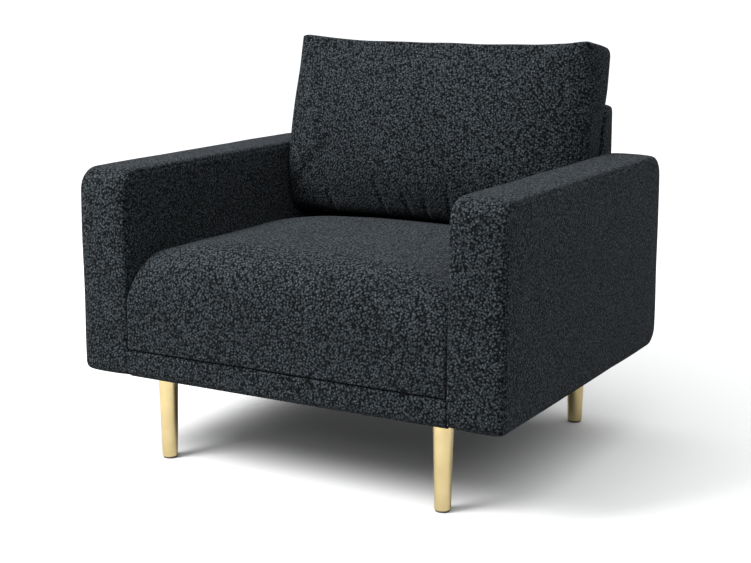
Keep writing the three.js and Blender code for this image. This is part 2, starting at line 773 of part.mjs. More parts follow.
function glide(x, y) {
  const plug = LEG_FOOT_RADIUS - LEG_WALL - GAP;
  const disc = LEG_FOOT_RADIUS - GLIDE_INSET;
  return turned(
    [
      [0, 0],
      [disc, 0],
      [disc, GLIDE],
      [plug, GLIDE],
      [plug, GLIDE + GLIDE_PLUG],
      [0, GLIDE + GLIDE_PLUG],
    ],
    x,
    y,
  );
}

function stud(x, y) {
  const low = LEG_TOP - STUD_IN_LEG;
  return roundBar(STUD_RADIUS, x, y, (low + STUD_TOP) / 2, STUD_TOP - low);
}

function legPlate(x, y) {
  const half = PLATE_SIZE / 2;
  const plate = box([x - half, y - half, PLATE_BOTTOM], [x + half, y + half, PLATE_BOTTOM + PLATE]);
  return plate.subtract(roundBar(bore, x, y, PLATE_BOTTOM, 2 * OVERSHOOT));
}

let undersideCloth = box(
  [-SEAT_HALF, -HALF_DEPTH + SEAT_SKIN + GAP, BODY_BOTTOM],
  [SEAT_HALF, HALF_DEPTH - BACK_SKIN - GAP, BODY_BOTTOM + CLOTH],
);

for (const [sideName, side] of SIDES) {
  for (const [endName, end] of ENDS) {
    const at = `${endName}_${sideName}`;
    const [x, y] = [side * LEG_X, end * LEG_Y];
    add(`leg_${at}`, leg(x, y), brass);
    add(`leg_glide_${at}`, glide(x, y), plastic);
    add(`leg_stud_${at}`, stud(x, y), steel);
    add(`leg_plate_${at}`, legPlate(x, y), steel);
    undersideCloth = undersideCloth.subtract(
      roundBar(LEG_TOP_RADIUS + CLOTH_HOLE_CLEARANCE, x, y, BODY_BOTTOM, OVERSHOOT),
    );
  }
}
add("underside_cloth", undersideCloth, cloth);

export default chair;
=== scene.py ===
# %% [markdown]
# # An upholstered armchair
#
# The chair has a timber frame that nobody sees, foam over it, and one fabric over everything: a charcoal
# tweed with light and dark flecks. The frame file gives every hidden part at its true size. This script
# gives the chair its skin: two soft slab arms, a tight crowned seat, a padded back and one loose cushion,
# on four slim brass-finished legs.

# %% Load the frame
import json
import math

import bmesh
import bpy
import numpy as np
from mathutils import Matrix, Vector


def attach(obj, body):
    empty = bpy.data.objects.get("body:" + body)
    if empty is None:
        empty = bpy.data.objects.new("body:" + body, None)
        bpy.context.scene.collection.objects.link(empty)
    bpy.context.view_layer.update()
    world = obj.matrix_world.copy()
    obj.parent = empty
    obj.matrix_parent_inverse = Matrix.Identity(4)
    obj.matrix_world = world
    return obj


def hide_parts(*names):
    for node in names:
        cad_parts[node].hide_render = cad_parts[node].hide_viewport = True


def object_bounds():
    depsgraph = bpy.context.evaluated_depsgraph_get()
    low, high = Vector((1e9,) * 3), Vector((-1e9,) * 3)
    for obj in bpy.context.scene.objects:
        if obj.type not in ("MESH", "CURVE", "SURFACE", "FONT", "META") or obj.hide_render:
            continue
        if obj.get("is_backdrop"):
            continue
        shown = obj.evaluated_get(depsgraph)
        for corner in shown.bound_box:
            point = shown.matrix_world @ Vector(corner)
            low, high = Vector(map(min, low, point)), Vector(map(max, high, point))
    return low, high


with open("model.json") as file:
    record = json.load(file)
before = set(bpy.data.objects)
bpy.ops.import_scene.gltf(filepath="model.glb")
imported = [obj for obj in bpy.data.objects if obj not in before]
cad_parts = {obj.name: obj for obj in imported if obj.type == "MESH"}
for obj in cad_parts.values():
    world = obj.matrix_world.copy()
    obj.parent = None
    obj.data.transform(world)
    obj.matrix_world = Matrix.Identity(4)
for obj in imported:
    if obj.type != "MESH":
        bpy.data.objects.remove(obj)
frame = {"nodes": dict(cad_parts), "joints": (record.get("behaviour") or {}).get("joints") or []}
cad_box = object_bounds()
scene = bpy.context.scene
print("frame box:", [tuple(round(v, 4) for v in corner) for corner in cad_box])

# %% [markdown]
# ## The camera
#
# A chair like this is shown three-quarters on, from a standing person's chest height, with a long lens
# that keeps its slab arms nearly parallel. The camera is set by bearing, tilt and distance from the point
# that it aims at. Those three are easier to adjust than a location and three angles.

# %% Camera
MM = 0.001
AIM = Vector((0.0, -0.019, 0.418))
CAMERA_BEARING = math.radians(29.7)
CAMERA_TILT = math.radians(10.13)
CAMERA_DISTANCE = 2.921
LENS = 71.2
LENS_SHIFT = -0.06
SENSOR_WIDTH = 36.0
FAR_CLIP = 500.0

camera_data = bpy.data.cameras.new("camera")
camera_data.lens = LENS
camera_data.sensor_width = SENSOR_WIDTH
camera_data.shift_y = LENS_SHIFT
camera_data.clip_end = FAR_CLIP
camera = bpy.data.objects.new("camera", camera_data)
backwards = Vector((
    math.sin(CAMERA_BEARING) * math.cos(CAMERA_TILT),
    -math.cos(CAMERA_BEARING) * math.cos(CAMERA_TILT),
    math.sin(CAMERA_TILT),
))
camera.location = AIM + backwards * CAMERA_DISTANCE
camera.rotation_mode = "QUATERNION"
camera.rotation_quaternion = (-backwards).to_track_quat("-Z", "Y")
scene.collection.objects.link(camera)
scene.camera = camera
print("camera at", tuple(round(v, 3) for v in camera.location))

# %% [markdown]
# ## Light and floor
#
# A catalogue studio is a white room with one big soft light overhead and a smaller one at the front left.
# Here a sun lamp with a very wide disc is the overhead light: it has the same strength over the whole
# floor, which a panel lamp wouldn't, and its width makes the shadow soft. The softbox lifts the fronts. The
# pale world around them fills the sides, and the camera sees it as a plain white wall.

# %% Light
SUN_STRENGTH = 7.8
SUN_WIDTH = math.radians(110)
SUN_FROM = Vector((0.04, -0.22, 1.0))
FILL = 0.7
SOFTBOX_POWER = 380.0
SOFTBOX_SIZE = 1.6
SOFTBOX_AT = Vector((-1.5, -2.3, 2.6))
SOFTBOX_AIM = Vector((0.0, 0.0, 0.55))
FILL_COLOUR = (0.96, 0.98, 1.0, 1.0)
WALL_COLOUR = (1.0, 1.0, 1.0, 1.0)

sun_data = bpy.data.lights.new("overhead_light", "SUN")
sun_data.energy = SUN_STRENGTH
sun_data.angle = SUN_WIDTH
sun = bpy.data.objects.new("overhead_light", sun_data)
sun.rotation_mode = "QUATERNION"
sun.rotation_quaternion = SUN_FROM.to_track_quat("Z", "Y")
scene.collection.objects.link(sun)

softbox_data = bpy.data.lights.new("softbox", "AREA")
softbox_data.energy = SOFTBOX_POWER
softbox_data.size = SOFTBOX_SIZE
softbox = bpy.data.objects.new("softbox", softbox_data)
softbox.location = SOFTBOX_AT
softbox.rotation_mode = "QUATERNION"
softbox.rotation_quaternion = (SOFTBOX_AIM - SOFTBOX_AT).to_track_quat("-Z", "Y")
scene.collection.objects.link(softbox)

world = bpy.data.worlds.new("studio")
world.use_nodes = True
room = world.node_tree
fill = room.nodes["Background"]
fill.inputs["Color"].default_value = FILL_COLOUR
fill.inputs["Strength"].default_value = FILL
wall = room.nodes.new("ShaderNodeBackground")
wall.inputs["Color"].default_value = WALL_COLOUR
seen_directly = room.nodes.new("ShaderNodeLightPath").outputs["Is Camera Ray"]
fill_or_wall = room.nodes.new("ShaderNodeMixShader")
for socket, value in enumerate((seen_directly, fill.outputs[0], wall.outputs[0])):
    room.links.new(value, fill_or_wall.inputs[socket])
room.links.new(fill_or_wall.outputs[0], room.nodes["World Output"].inputs["Surface"])
scene.world = world
scene.view_settings.view_transform = "Standard"
print("lights:", sun.name, softbox.name, world.name)

# %% [markdown]
# ## A small kit for finishes
#
# Every finish below is a Principled shader fed by procedural patterns. All patterns are read in object
# space, in metres, so a weave keeps its real size on every piece, and needs no unwrapping.

# %% Kit for finishes
def new_finish(name, **constants):
    """A material whose shader has these constant values, with its node tree and shader."""
    finish = bpy.data.materials.new(name)
    finish.use_nodes = True
    tree = finish.node_tree
    shader = tree.nodes["Principled BSDF"]
    for socket, value in constants.items():
        shader.inputs[socket.replace("_", " ")].default_value = value
    return finish, tree, shader


def node(tree, kind, inputs=(), **settings):
    """Adds one node. An input is a plain value or another node's socket."""
    made = tree.nodes.new(kind)
    for setting, value in settings.items():
        setattr(made, setting, value)
    for socket, value in dict(inputs).items():
        if isinstance(value, bpy.types.NodeSocket):
            tree.links.new(value, made.inputs[socket])
        else:
            made.inputs[socket].default_value = value
    return made


def place_of(tree):
    return node(tree, "ShaderNodeTexCoord").outputs["Object"]


def stretched(tree, scale):
    """Object space, scaled by a different amount along each axis."""
    return node(tree, "ShaderNodeMapping", {"Vector": place_of(tree), "Scale": scale}).outputs["Vector"]


def noise(tree, scale, where=None, detail=2.0, roughness=0.5):
    where = where or place_of(tree)
    inputs = {"Vector": where, "Scale": scale, "Detail": detail, "Roughness": roughness}
    return node(tree, "ShaderNodeTexNoise", inputs).outputs["Fac"]


def ramp(tree, factor, stops):
    """A colour ramp. Each stop is (position, grey) or (position, (r, g, b))."""
    made = node(tree, "ShaderNodeValToRGB", {"Fac": factor})
    band = made.color_ramp.elements
    while len(band) < len(stops):
        band.new(0.5)
    for element, (position, tone) in zip(band, stops):
        element.position = position
        tone = (tone,) * 3 if isinstance(tone, float) else tone
        element.color = (*tone, 1.0)
    return made.outputs["Color"]


def calc(tree, operation, a, b):
    """One arithmetic step, such as ADD or MULTIPLY."""
    return node(tree, "ShaderNodeMath", {0: a, 1: b}, operation=operation).outputs[0]


def tinted(tree, base, by):
    """base multiplied by another colour. Sockets 0, 6 and 7 are the colour mix's factor and two colours."""
    inputs = {0: 1.0, 6: base, 7: by}
    return node(tree, "ShaderNodeMix", inputs, data_type="RGBA", blend_type="MULTIPLY").outputs[2]


def raised(tree, shader, height, distance, strength=1.0):
    """Bump from a height pattern: distance is its depth in metres."""
    inputs = {"Height": height, "Distance": distance, "Strength": strength}
    tree.links.new(node(tree, "ShaderNodeBump", inputs).outputs["Normal"], shader.inputs["Normal"])


print("kit ready; materials so far:", len(bpy.data.materials))

# %% [markdown]
# ## The floor
#
# The floor is a mid grey that the light lifts to white, so that it doesn't bounce too much light back onto
# the chair's sides. It reaches far past the chair, so that its edge is never in view.

# %% Floor
FLOOR_TONE = 0.34
FLOOR_MOTTLE = 0.01
FLOOR_REACH = 90.0


def floor_paint():
    finish, tree, shader = new_finish("floor_paint", Roughness=0.9)
    stops = [(0.3, FLOOR_TONE * (1 - FLOOR_MOTTLE)), (0.7, FLOOR_TONE * (1 + FLOOR_MOTTLE))]
    mottle = ramp(tree, noise(tree, 0.8), stops)
    tree.links.new(mottle, shader.inputs["Base Color"])
    return finish


floor_mesh = bpy.data.meshes.new("floor")
floor_mesh.from_pydata(
    [(x * FLOOR_REACH, y * FLOOR_REACH, 0.0) for x, y in ((-1, -1), (1, -1), (1, 1), (-1, 1))],
    [],
    [(0, 1, 2, 3)],
)
floor_mesh.materials.append(floor_paint())
floor = bpy.data.objects.new("floor", floor_mesh)
scene.collection.objects.link(floor)
floor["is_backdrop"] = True
print("floor reaches", FLOOR_REACH, "m each way")

# %% [markdown]
# ## Tweed
#
# The fabric is a nubbly tweed. Its yarns are spun from near-black, charcoal and pale fibres, so each little
# nub where a yarn comes to the surface has a tone of its own. Voronoi cells make good nubs: each cell has
# one random tone, and the distance to its centre gives its height. The same distance also darkens the
# colour towards the crevice round each nub, as painted shade. Two sizes of cell keep it irregular, and fine
# noise is the fibre fuzz. The cells are turned off the axes, so that no flat panel cuts them all at one
# level. Dark wool is dull, so there is hardly any gloss or sheen.

# %% Tweed finish
NUBS_PER_METRE = 225.0
FLECKS_PER_METRE = 520.0
NUB_HEIGHT = 1.3 * MM
NUB_SHARE, FLECK_SHARE = 0.2, 0.8
FLECK_RELIEF = 0.4
CELL_TURN = (0.61, 0.37, 0.93)


def tweed_cloth():
    finish, tree, shader = new_finish(
        "charcoal_tweed",
        Roughness=0.92,
        Specular_IOR_Level=0.02,
        Sheen_Weight=0.02,
        Sheen_Roughness=0.5,
        Sheen_Tint=(0.75, 0.82, 0.9, 1.0),
    )
    turned = {"Vector": place_of(tree), "Rotation": CELL_TURN}
    where = node(tree, "ShaderNodeMapping", turned).outputs["Vector"]
    nub_inputs = {"Vector": where, "Scale": NUBS_PER_METRE, "Randomness": 0.8}
    nubs = node(tree, "ShaderNodeTexVoronoi", nub_inputs)
    flecks = node(tree, "ShaderNodeTexVoronoi", {"Vector": where, "Scale": FLECKS_PER_METRE})
    nub_tone = node(tree, "ShaderNodeSeparateColor", {"Color": nubs.outputs["Color"]}).outputs["Red"]
    fleck_tone = node(tree, "ShaderNodeSeparateColor", {"Color": flecks.outputs["Color"]}).outputs["Green"]
    nub_part = calc(tree, "MULTIPLY", nub_tone, NUB_SHARE)
    tone = calc(tree, "ADD", nub_part, calc(tree, "MULTIPLY", fleck_tone, FLECK_SHARE))
    yarn = ramp(tree, tone, [
        (0.10, (0.0078, 0.0094, 0.0106)),
        (0.38, (0.0135, 0.0160, 0.0180)),
        (0.60, (0.0190, 0.0226, 0.0254)),
        (0.90, (0.0335, 0.0396, 0.0446)),
    ])
    # painted shade: the yarn colour darkens towards each nub's edge, standing in for shade in the crevice
    # between nubs
    painted_crevice_shade = ramp(tree, nubs.outputs["Distance"], [(0.2, 1.0), (0.65, 0.05)])
    patches = ramp(tree, noise(tree, 7.0, detail=3.0), [(0.3, 0.94), (0.7, 1.04)])
    fuzz = ramp(tree, noise(tree, 1400.0, detail=1.0), [(0.3, 0.8), (0.7, 1.15)])
    colour = tinted(tree, tinted(tree, tinted(tree, yarn, painted_crevice_shade), patches), fuzz)
    tree.links.new(colour, shader.inputs["Base Color"])
    domes = calc(tree, "SUBTRACT", 1.0, nubs.outputs["Distance"])
    small = calc(tree, "MULTIPLY", calc(tree, "SUBTRACT", 1.0, flecks.outputs["Distance"]), FLECK_RELIEF)
    raised(tree, shader, calc(tree, "ADD", domes, small), NUB_HEIGHT, 0.9)
    return finish


tweed = tweed_cloth()
print("tweed:", len(tweed.node_tree.nodes), "nodes")

# %% [markdown]
# ## Brass finish, steel and plastic
#
# The legs are turned steel tube with a satin brass plating. Satin means that fine polishing lines run round
# the tube, so the roughness and a very shallow bump both follow noise that is stretched into rings. The
# studs, plates and bolts are zinc-plated, with the slightly cloudy crystals of that plating.

# %% Metal and plastic finishes
def brass_plating():
    finish, tree, shader = new_finish("brass_plating", Metallic=1.0, Anisotropic=0.2)
    rings = noise(tree, 1.0, stretched(tree, (20.0, 20.0, 1800.0)), detail=3.0)
    cloud = noise(tree, 30.0, detail=2.0)
    tint = ramp(tree, cloud, [(0.3, (0.47, 0.37, 0.185)), (0.7, (0.53, 0.43, 0.225))])
    tree.links.new(tint, shader.inputs["Base Color"])
    polish = ramp(tree, rings, [(0.3, 0.16), (0.7, 0.24)])
    tree.links.new(polish, shader.inputs["Roughness"])
    raised(tree, shader, rings, 0.02 * MM, 0.5)
    return finish


def zinc_plating():
    finish, tree, shader = new_finish("zinc_plating", Metallic=1.0)
    crystals = node(tree, "ShaderNodeTexVoronoi", {"Vector": place_of(tree), "Scale": 900.0})
    tone = node(tree, "ShaderNodeSeparateColor", {"Color": crystals.outputs["Color"]}).outputs["Red"]
    tint = ramp(tree, tone, [(0.0, (0.48, 0.49, 0.50)), (1.0, (0.60, 0.61, 0.62))])
    tree.links.new(tint, shader.inputs["Base Color"])
    tree.links.new(ramp(tree, noise(tree, 200.0), [(0.3, 0.3), (0.7, 0.45)]), shader.inputs["Roughness"])
    return finish


def nylon_moulding():
    finish, tree, shader = new_finish("nylon_moulding", Specular_IOR_Level=0.4)
    tint = ramp(tree, noise(tree, 60.0), [(0.3, (0.020, 0.018, 0.017)), (0.7, (0.030, 0.027, 0.025))])
    tree.links.new(tint, shader.inputs["Base Color"])
    scuffs = noise(tree, 500.0, detail=3.0)
    tree.links.new(ramp(tree, scuffs, [(0.3, 0.45), (0.7, 0.65)]), shader.inputs["Roughness"])
    raised(tree, shader, scuffs, 0.05 * MM, 0.4)
    return finish


brass, zinc, nylon = brass_plating(), zinc_plating(), nylon_moulding()
print("metals and plastic are made")

# %% [markdown]
# ## What is under the cover
#
# Timber, board, webbing and dust cloth are out of sight in normal use, but they show when the chair is
# turned over or opened up, so each has its own finish. Pine is long rings stretched along the board. The
# two cloths are real weaves: sine waves crossing at right angles make a plain weave at thread scale.

# %% Finishes under the cover
def pine_timber():
    finish, tree, shader = new_finish("pine_timber", Specular_IOR_Level=0.3)
    warp = noise(tree, 3.0, stretched(tree, (1.0, 6.0, 6.0)))
    rings = node(
        tree,
        "ShaderNodeTexWave",
        {"Vector": stretched(tree, (8.0, 60.0, 60.0)), "Scale": 1.0, "Distortion": 5.0, "Detail": 2.0},
        wave_type="RINGS",
    ).outputs["Fac"]
    grain = calc(tree, "ADD", calc(tree, "MULTIPLY", rings, 0.7), calc(tree, "MULTIPLY", warp, 0.3))
    tint = ramp(tree, grain, [(0.2, (0.62, 0.42, 0.22)), (0.8, (0.43, 0.25, 0.11))])
    tree.links.new(tint, shader.inputs["Base Color"])
    tree.links.new(ramp(tree, grain, [(0.2, 0.6), (0.8, 0.75)]), shader.inputs["Roughness"])
    raised(tree, shader, grain, 0.2 * MM, 0.4)
    return finish


def pressed_board():
    finish, tree, shader = new_finish("pressed_board", Roughness=0.85)
    fibres = noise(tree, 350.0, detail=4.0, roughness=0.7)
    tint = ramp(tree, fibres, [(0.3, (0.30, 0.19, 0.09)), (0.7, (0.45, 0.30, 0.16))])
    tree.links.new(tint, shader.inputs["Base Color"])
    raised(tree, shader, fibres, 0.15 * MM, 0.5)
    return finish


BANDS_PER_SCALE = 3.1  # a wave texture draws about this many bands to the metre at scale 1


def plain_weave(name, dark, light, threads, depth):
    """A cloth with this many threads to the metre each way."""
    finish, tree, shader = new_finish(name, Roughness=0.9, Specular_IOR_Level=0.2)
    inputs = {"Scale": threads / BANDS_PER_SCALE, "Distortion": 0.6, "Detail": 1.0}
    lines = [
        node(
            tree,
            "ShaderNodeTexWave",
            {"Vector": place_of(tree), **inputs},
            bands_direction=direction,
        ).outputs["Fac"]
        for direction in "XYZ"
    ]
    weave = calc(tree, "MAXIMUM", calc(tree, "MAXIMUM", lines[0], lines[1]), lines[2])
    tree.links.new(ramp(tree, weave, [(0.2, dark), (0.9, light)]), shader.inputs["Base Color"])
    raised(tree, shader, weave, depth, 0.6)
    return finish


timber, board = pine_timber(), pressed_board()
webbing = plain_weave("woven_webbing", (0.012,) * 3, (0.045,) * 3, 600.0, 0.4 * MM)
dust_cloth = plain_weave("dust_cloth", (0.006,) * 3, (0.022,) * 3, 900.0, 0.15 * MM)
print("finishes under the cover are made")

# %% [markdown]
# ## Cutting and fitting the covers
#
# A maker starts an upholstered block from foam cut a little large, and pulls the cover down over it. The
# same idea works here. Each block starts as a plain outline whose skin is remade as an even grid, and
# every point of the grid is then drawn onto a shape given by a formula: negative inside, zero on the
# surface. The formula is built from flat or crowned sides that meet in round edges, so every radius stays a
# plain number.

# %% Kit for the covers
def mesh_piece(name, made):
    """A piece from a bmesh, with its faces turned outwards."""
    bmesh.ops.recalc_face_normals(made, faces=made.faces)
    mesh = bpy.data.meshes.new(name)
    made.to_mesh(mesh)
    made.free()
    piece = bpy.data.objects.new(name, mesh)
    scene.collection.objects.link(piece)
    return piece


def points_of(piece):
    flat = np.empty(len(piece.data.vertices) * 3)
    piece.data.vertices.foreach_get("co", flat)
    return flat.reshape(-1, 3)


def put_points(piece, points):
    piece.data.vertices.foreach_set("co", points.ravel())
    piece.data.update()


def normals_of(piece):
    flat = np.empty(len(piece.data.vertices) * 3)
    piece.data.vertices.foreach_get("normal", flat)
    return flat.reshape(-1, 3)


def round_edge(a, b, radius):
    """The shape that lies inside both a and b, with a round edge where they meet."""
    beyond = np.hypot(np.maximum(a + radius, 0), np.maximum(b + radius, 0))
    return beyond + np.minimum(np.maximum(a, b), -radius)


def draw_onto(piece, shape, rounds=6):
    """Moves every point of piece onto the surface where shape is zero."""
    points = points_of(piece)
    tiny = 0.05 * MM
    for _ in range(rounds):
        here = shape(*points.T)
        slope = np.stack([
            (shape(*(points + tiny * unit).T) - here) / tiny for unit in np.eye(3)
        ], axis=1)
        steepness = np.maximum((slope**2).sum(1), 0.25)
        points = points - slope * (here / steepness)[:, None]
    put_points(piece, points)


def keep_modifiers(piece):
    """Replaces the mesh by what its modifiers make of it."""
    seen = piece.evaluated_get(bpy.context.evaluated_depsgraph_get())
    mesh = bpy.data.meshes.new_from_object(seen)
    piece.modifiers.clear()
    piece.data = mesh


def finer(piece):
    """Splits every face in four and rounds the grid between its points."""
    smooth = piece.modifiers.new("finer", "SUBSURF")
    smooth.levels = smooth.render_levels = 1
    keep_modifiers(piece)


def dress(piece, finish, body, slot, *nodes):
    """Gives a piece its finish, its body and the frame nodes that it stands for."""
    piece.data.materials.clear()
    piece.data.materials.append(finish)
    piece.data.shade_smooth()
    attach(piece, body)
    if nodes:
        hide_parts(*nodes)
    print(f"{piece.name}: {len(piece.data.polygons)} faces")


corner = round_edge(np.float64(0), np.float64(0), 10 * MM)
print("a 10 mm round edge passes", round(float(corner) / MM, 2), "mm inside its corner")

# %% [markdown]
# ## Stuffing
#
# Foam and fibre push a cover out until the cloth is tight. Blender's cloth with a little pressure and no
# gravity does the same. The seams hold the cover in, so points near them are pinned, and the panels between
# them swell. The whole movement is then scaled down to a set largest swell, which stands in for the foam's
# limited give. It runs a fixed twenty frames, so it comes out the same each time.

# %% Stuff a cover
STUFFING_FRAMES = 20
STUFFING_PRESSURE = 4.0


def stuff(piece, most, held):
    """Swells a closed cover by most, in metres. held is a weight for each point: 1 is fixed."""
    before = points_of(piece)
    cloth = piece.modifiers.new("stuffing", "CLOTH")
    feel = cloth.settings
    feel.quality = 4
    feel.mass = 0.3
    feel.tension_stiffness = feel.compression_stiffness = 12
    feel.shear_stiffness = 4
    feel.bending_stiffness = 1.5
    feel.use_pressure = True
    feel.uniform_pressure_force = STUFFING_PRESSURE
    feel.effector_weights.gravity = 0
    group = piece.vertex_groups.new(name="held")
    steps = np.round(held, 1)
    for weight in np.unique(steps[steps > 0]):
        group.add(np.flatnonzero(steps == weight).tolist(), float(weight), "REPLACE")
    feel.vertex_group_mass = "held"
    feel.pin_stiffness = 1.0
    cloth.collision_settings.use_collision = False
    for number in range(1, STUFFING_FRAMES + 1):
        scene.frame_set(number)
    keep_modifiers(piece)
    scene.frame_set(1)
    moved = points_of(piece) - before
    reach = np.linalg.norm(moved, axis=1).max()
    put_points(piece, before + moved * min(1.0, most / reach))
    print(f"{piece.name}: swelled by up to {reach / MM:.0f} mm, kept to {most / MM:.0f}")


print("stuffing runs for", STUFFING_FRAMES, "frames")

# %% [markdown]
# ## Blocks, seams and rucks
#
# A block is the start of every big piece. A seam is pressed in as a narrow groove, and a ruck is a long,
# low wave in the cloth. The waves come from fixed sums of sines, so they are the same each time.

# %% Helpers for blocks and seams
def block(name, outline, low_x, high_x, skin_step):
    """A closed block with this (y, z) outline, re-skinned with even quads."""
    made = bmesh.new()
    ends = [[made.verts.new((x, y, z)) for y, z in outline] for x in (low_x, high_x)]
    made.faces.new(ends[0])
    made.faces.new(ends[1])
    for i in range(len(outline)):
        made.faces.new((ends[0][i - 1], ends[0][i], ends[1][i], ends[1][i - 1]))
    piece = mesh_piece(name, made)
    skin = piece.modifiers.new("even skin", "REMESH")
    skin.mode = "VOXEL"
    skin.voxel_size = skin_step
    keep_modifiers(piece)
    return piece


def rounded_rectangle(u, v, low, high, radii):
    """Distance to a rectangle. radii: low u low v, high u low v, high u high v, low u high v."""
    middle = [(a + b) / 2 for a, b in zip(low, high)]
    half = [(b - a) / 2 for a, b in zip(low, high)]
    right, up = u > middle[0], v > middle[1]
    radius = np.where(up, np.where(right, radii[2], radii[3]), np.where(right, radii[1], radii[0]))
    du = np.abs(u - middle[0]) - half[0] + radius
    dv = np.abs(v - middle[1]) - half[1] + radius
    return np.hypot(np.maximum(du, 0), np.maximum(dv, 0)) + np.minimum(np.maximum(du, dv), 0) - radius


def finer_near(piece, distance, reach):
    """Halves the grid where distance(x, y, z) is under reach."""
    near = distance(*points_of(piece).T) < reach
    made = bmesh.new()
    made.from_mesh(piece.data)
    made.verts.ensure_lookup_table()
    edges = [e for e in made.edges if near[e.verts[0].index] and near[e.verts[1].index]]
    bmesh.ops.subdivide_edges(made, edges=edges, cuts=1, use_grid_fill=True, smooth=0.0)
    made.to_mesh(piece.data)
    made.free()
    piece.data.update()


def sew(piece, distance, depth, width):
    """Presses a seam into the skin along distance(x, y, z) = 0."""
    points = points_of(piece)
    away = distance(*points.T)
    put_points(piece, points - normals_of(piece) * (depth * np.exp(-((away / width) ** 2)))[:, None])


def push_out(piece, amount):
    """Moves each point along its normal by amount(x, y, z)."""
    points = points_of(piece)
    put_points(piece, points + normals_of(piece) * amount(*points.T)[:, None])


def smooth_step(value, start, end):
    """0 at start, 1 at end, and level at both."""
    t = np.clip((value - start) / (end - start), 0, 1)
    return t * t * (3 - 2 * t)


def waves(x, y, z, length, seed):
    """A smooth, irregular pattern from -1 to 1, about one wave to each length."""
    k = 2 * math.pi / length
    return (
        np.sin(k * (x + 0.6 * y) + seed + 1.3 * np.sin(k * 0.7 * z + seed))
        + np.sin(k * (0.8 * y - 0.5 * z) + 2.1 * seed + 1.1 * np.sin(k * 0.6 * x))
        + np.sin(k * (0.9 * z + 0.4 * x) + 3.7 * seed + 1.2 * np.sin(k * 0.8 * y))
    ) / 3


print("a wave stays within", round(float(np.abs(waves(np.linspace(0, 1, 500), 0, 0, 0.2, 1.0)).max()), 2))

# %% [markdown]
# ## The arms
#
# Each arm is a slab of timber posts and rails, backed with board and wrapped in foam. Its cover is two side
# panels sewn to one long strip that runs over the front, the top and the back. The plain seams lie just
# inside each edge and pull it in a little, while the foam fills the panels between them. The inner front
# edge is sharper where the seat and the band meet it, so that nothing of the frame shows between them.

# %% Arms
HALF_WIDTH = 445 * MM
HALF_DEPTH = 377 * MM
ARM_INNER = 338 * MM
ARM_LOW = 172 * MM
ARM_HIGH = 567 * MM
ARM_RADII = [r * MM for r in (18, 40, 43, 43)]
ARM_EDGE = 13 * MM
ARM_SEAT_EDGE = 8 * MM
ARM_BAND_EDGE = 3 * MM
ARM_GRID = 7 * MM
ARM_FULLNESS = 2.5 * MM
ARM_RUCK = 0.8 * MM
ARM_SEAM_INSET = 8.5 * MM
ARM_SEAM_DEPTH, ARM_SEAM_WIDTH = 1.3 * MM, 1.8 * MM
SEAM_Z = 224 * MM


def arm_outline(y, z):
    return rounded_rectangle(y, z, (-HALF_DEPTH, ARM_LOW), (HALF_DEPTH, ARM_HIGH), ARM_RADII)


def make_arm(name, side):
    low_x, high_x = sorted((side * ARM_INNER, side * HALF_WIDTH))
    low_corners = [(-HALF_DEPTH, ARM_LOW), (HALF_DEPTH, ARM_LOW)]
    corners = [*low_corners, (HALF_DEPTH, ARM_HIGH), (-HALF_DEPTH, ARM_HIGH)]
    arm = block(name, corners, low_x, high_x, ARM_GRID)

    def past_sides(x):
        return np.abs(x - (low_x + high_x) / 2) - (high_x - low_x) / 2

    def shape(x, y, z):
        inner_low = (side * x < ARM_INNER + 30 * MM) & (y < -0.3)
        by_seat = smooth_step(z, 420 * MM, 330 * MM) * inner_low
        by_band = smooth_step(z, SEAM_Z + 12 * MM, SEAM_Z) * inner_low
        edge = ARM_EDGE + (ARM_SEAT_EDGE - ARM_EDGE) * by_seat + (ARM_BAND_EDGE - ARM_SEAT_EDGE) * by_band
        return round_edge(arm_outline(y, z), past_sides(x), edge)

    def seam(x, y, z):
        return np.where(past_sides(x) > -6 * MM, np.abs(arm_outline(y, z) + ARM_SEAM_INSET), 1.0)

    draw_onto(arm, shape)

    def fullness(x, y, z):
        outline_depth = smooth_step(-arm_outline(y, z), 6 * MM, 70 * MM)
        side_depth = smooth_step((high_x - low_x) / 2 - np.abs(x - (low_x + high_x) / 2), 4 * MM, 40 * MM)
        swell = ARM_FULLNESS * np.maximum(outline_depth, side_depth * 0.6)
        return swell + ARM_RUCK * waves(x, y, z, 0.19, 1.0 + side)

    push_out(arm, fullness)
    finer_near(arm, seam, 7 * MM)
    finer(arm)
    sew(arm, seam, ARM_SEAM_DEPTH, ARM_SEAM_WIDTH)
    dress(arm, tweed, "chair", "tweed_fabric", f"arm_cover_{name.split('_')[1]}")


make_arm("arm_left", -1)
make_arm("arm_right", 1)

# %% [markdown]
# ## The seat
#
# The seat is upholstered tight onto the frame. Its foam is thickest in the middle and falls away to both
# arms, and the front rolls over in one big soft curve. The cover is sewn to a narrow band along the bottom
# of the front, and that seam is the only one that shows. Behind, the seat slopes down under the loose
# cushion. Pressure fills the cover last, held at its edges, where it's stapled.

# %% Seat
SEAT_HALF = 338.3 * MM
SEAT_CROWN = 435 * MM
SEAT_SIDE_DROP = 36 * MM
SEAT_CROWN_FLAT = 120 * MM
SEAT_SLOPE_START = 64 * MM
SEAT_BACK = 289.4 * MM
LEAN = math.radians(9.2)
SEAT_FRONT_ROUND = 92 * MM
SEAT_ARM_ROUND = 24 * MM
SEAT_LOW_ARM_ROUND = 4.5 * MM
SEAT_LOW = SEAM_Z - 0.6 * MM
FOAM_LOW = 294.6 * MM
SEAT_SKIN = 10.4 * MM
SEAT_GRID = 8 * MM
SEAT_SWELL = 5 * MM
SEAT_RUCK = 0.9 * MM
TURN_DEPTH, TURN_WIDTH = 7 * MM, 2 * MM


def seat_height(x, y):
    side = np.clip((np.abs(x) - SEAT_CROWN_FLAT) / (SEAT_HALF - SEAT_CROWN_FLAT), 0, 1.2)
    slope = np.maximum(y - SEAT_SLOPE_START, 0) * math.tan(LEAN)
    return SEAT_CROWN - SEAT_SIDE_DROP * side**2 - slope


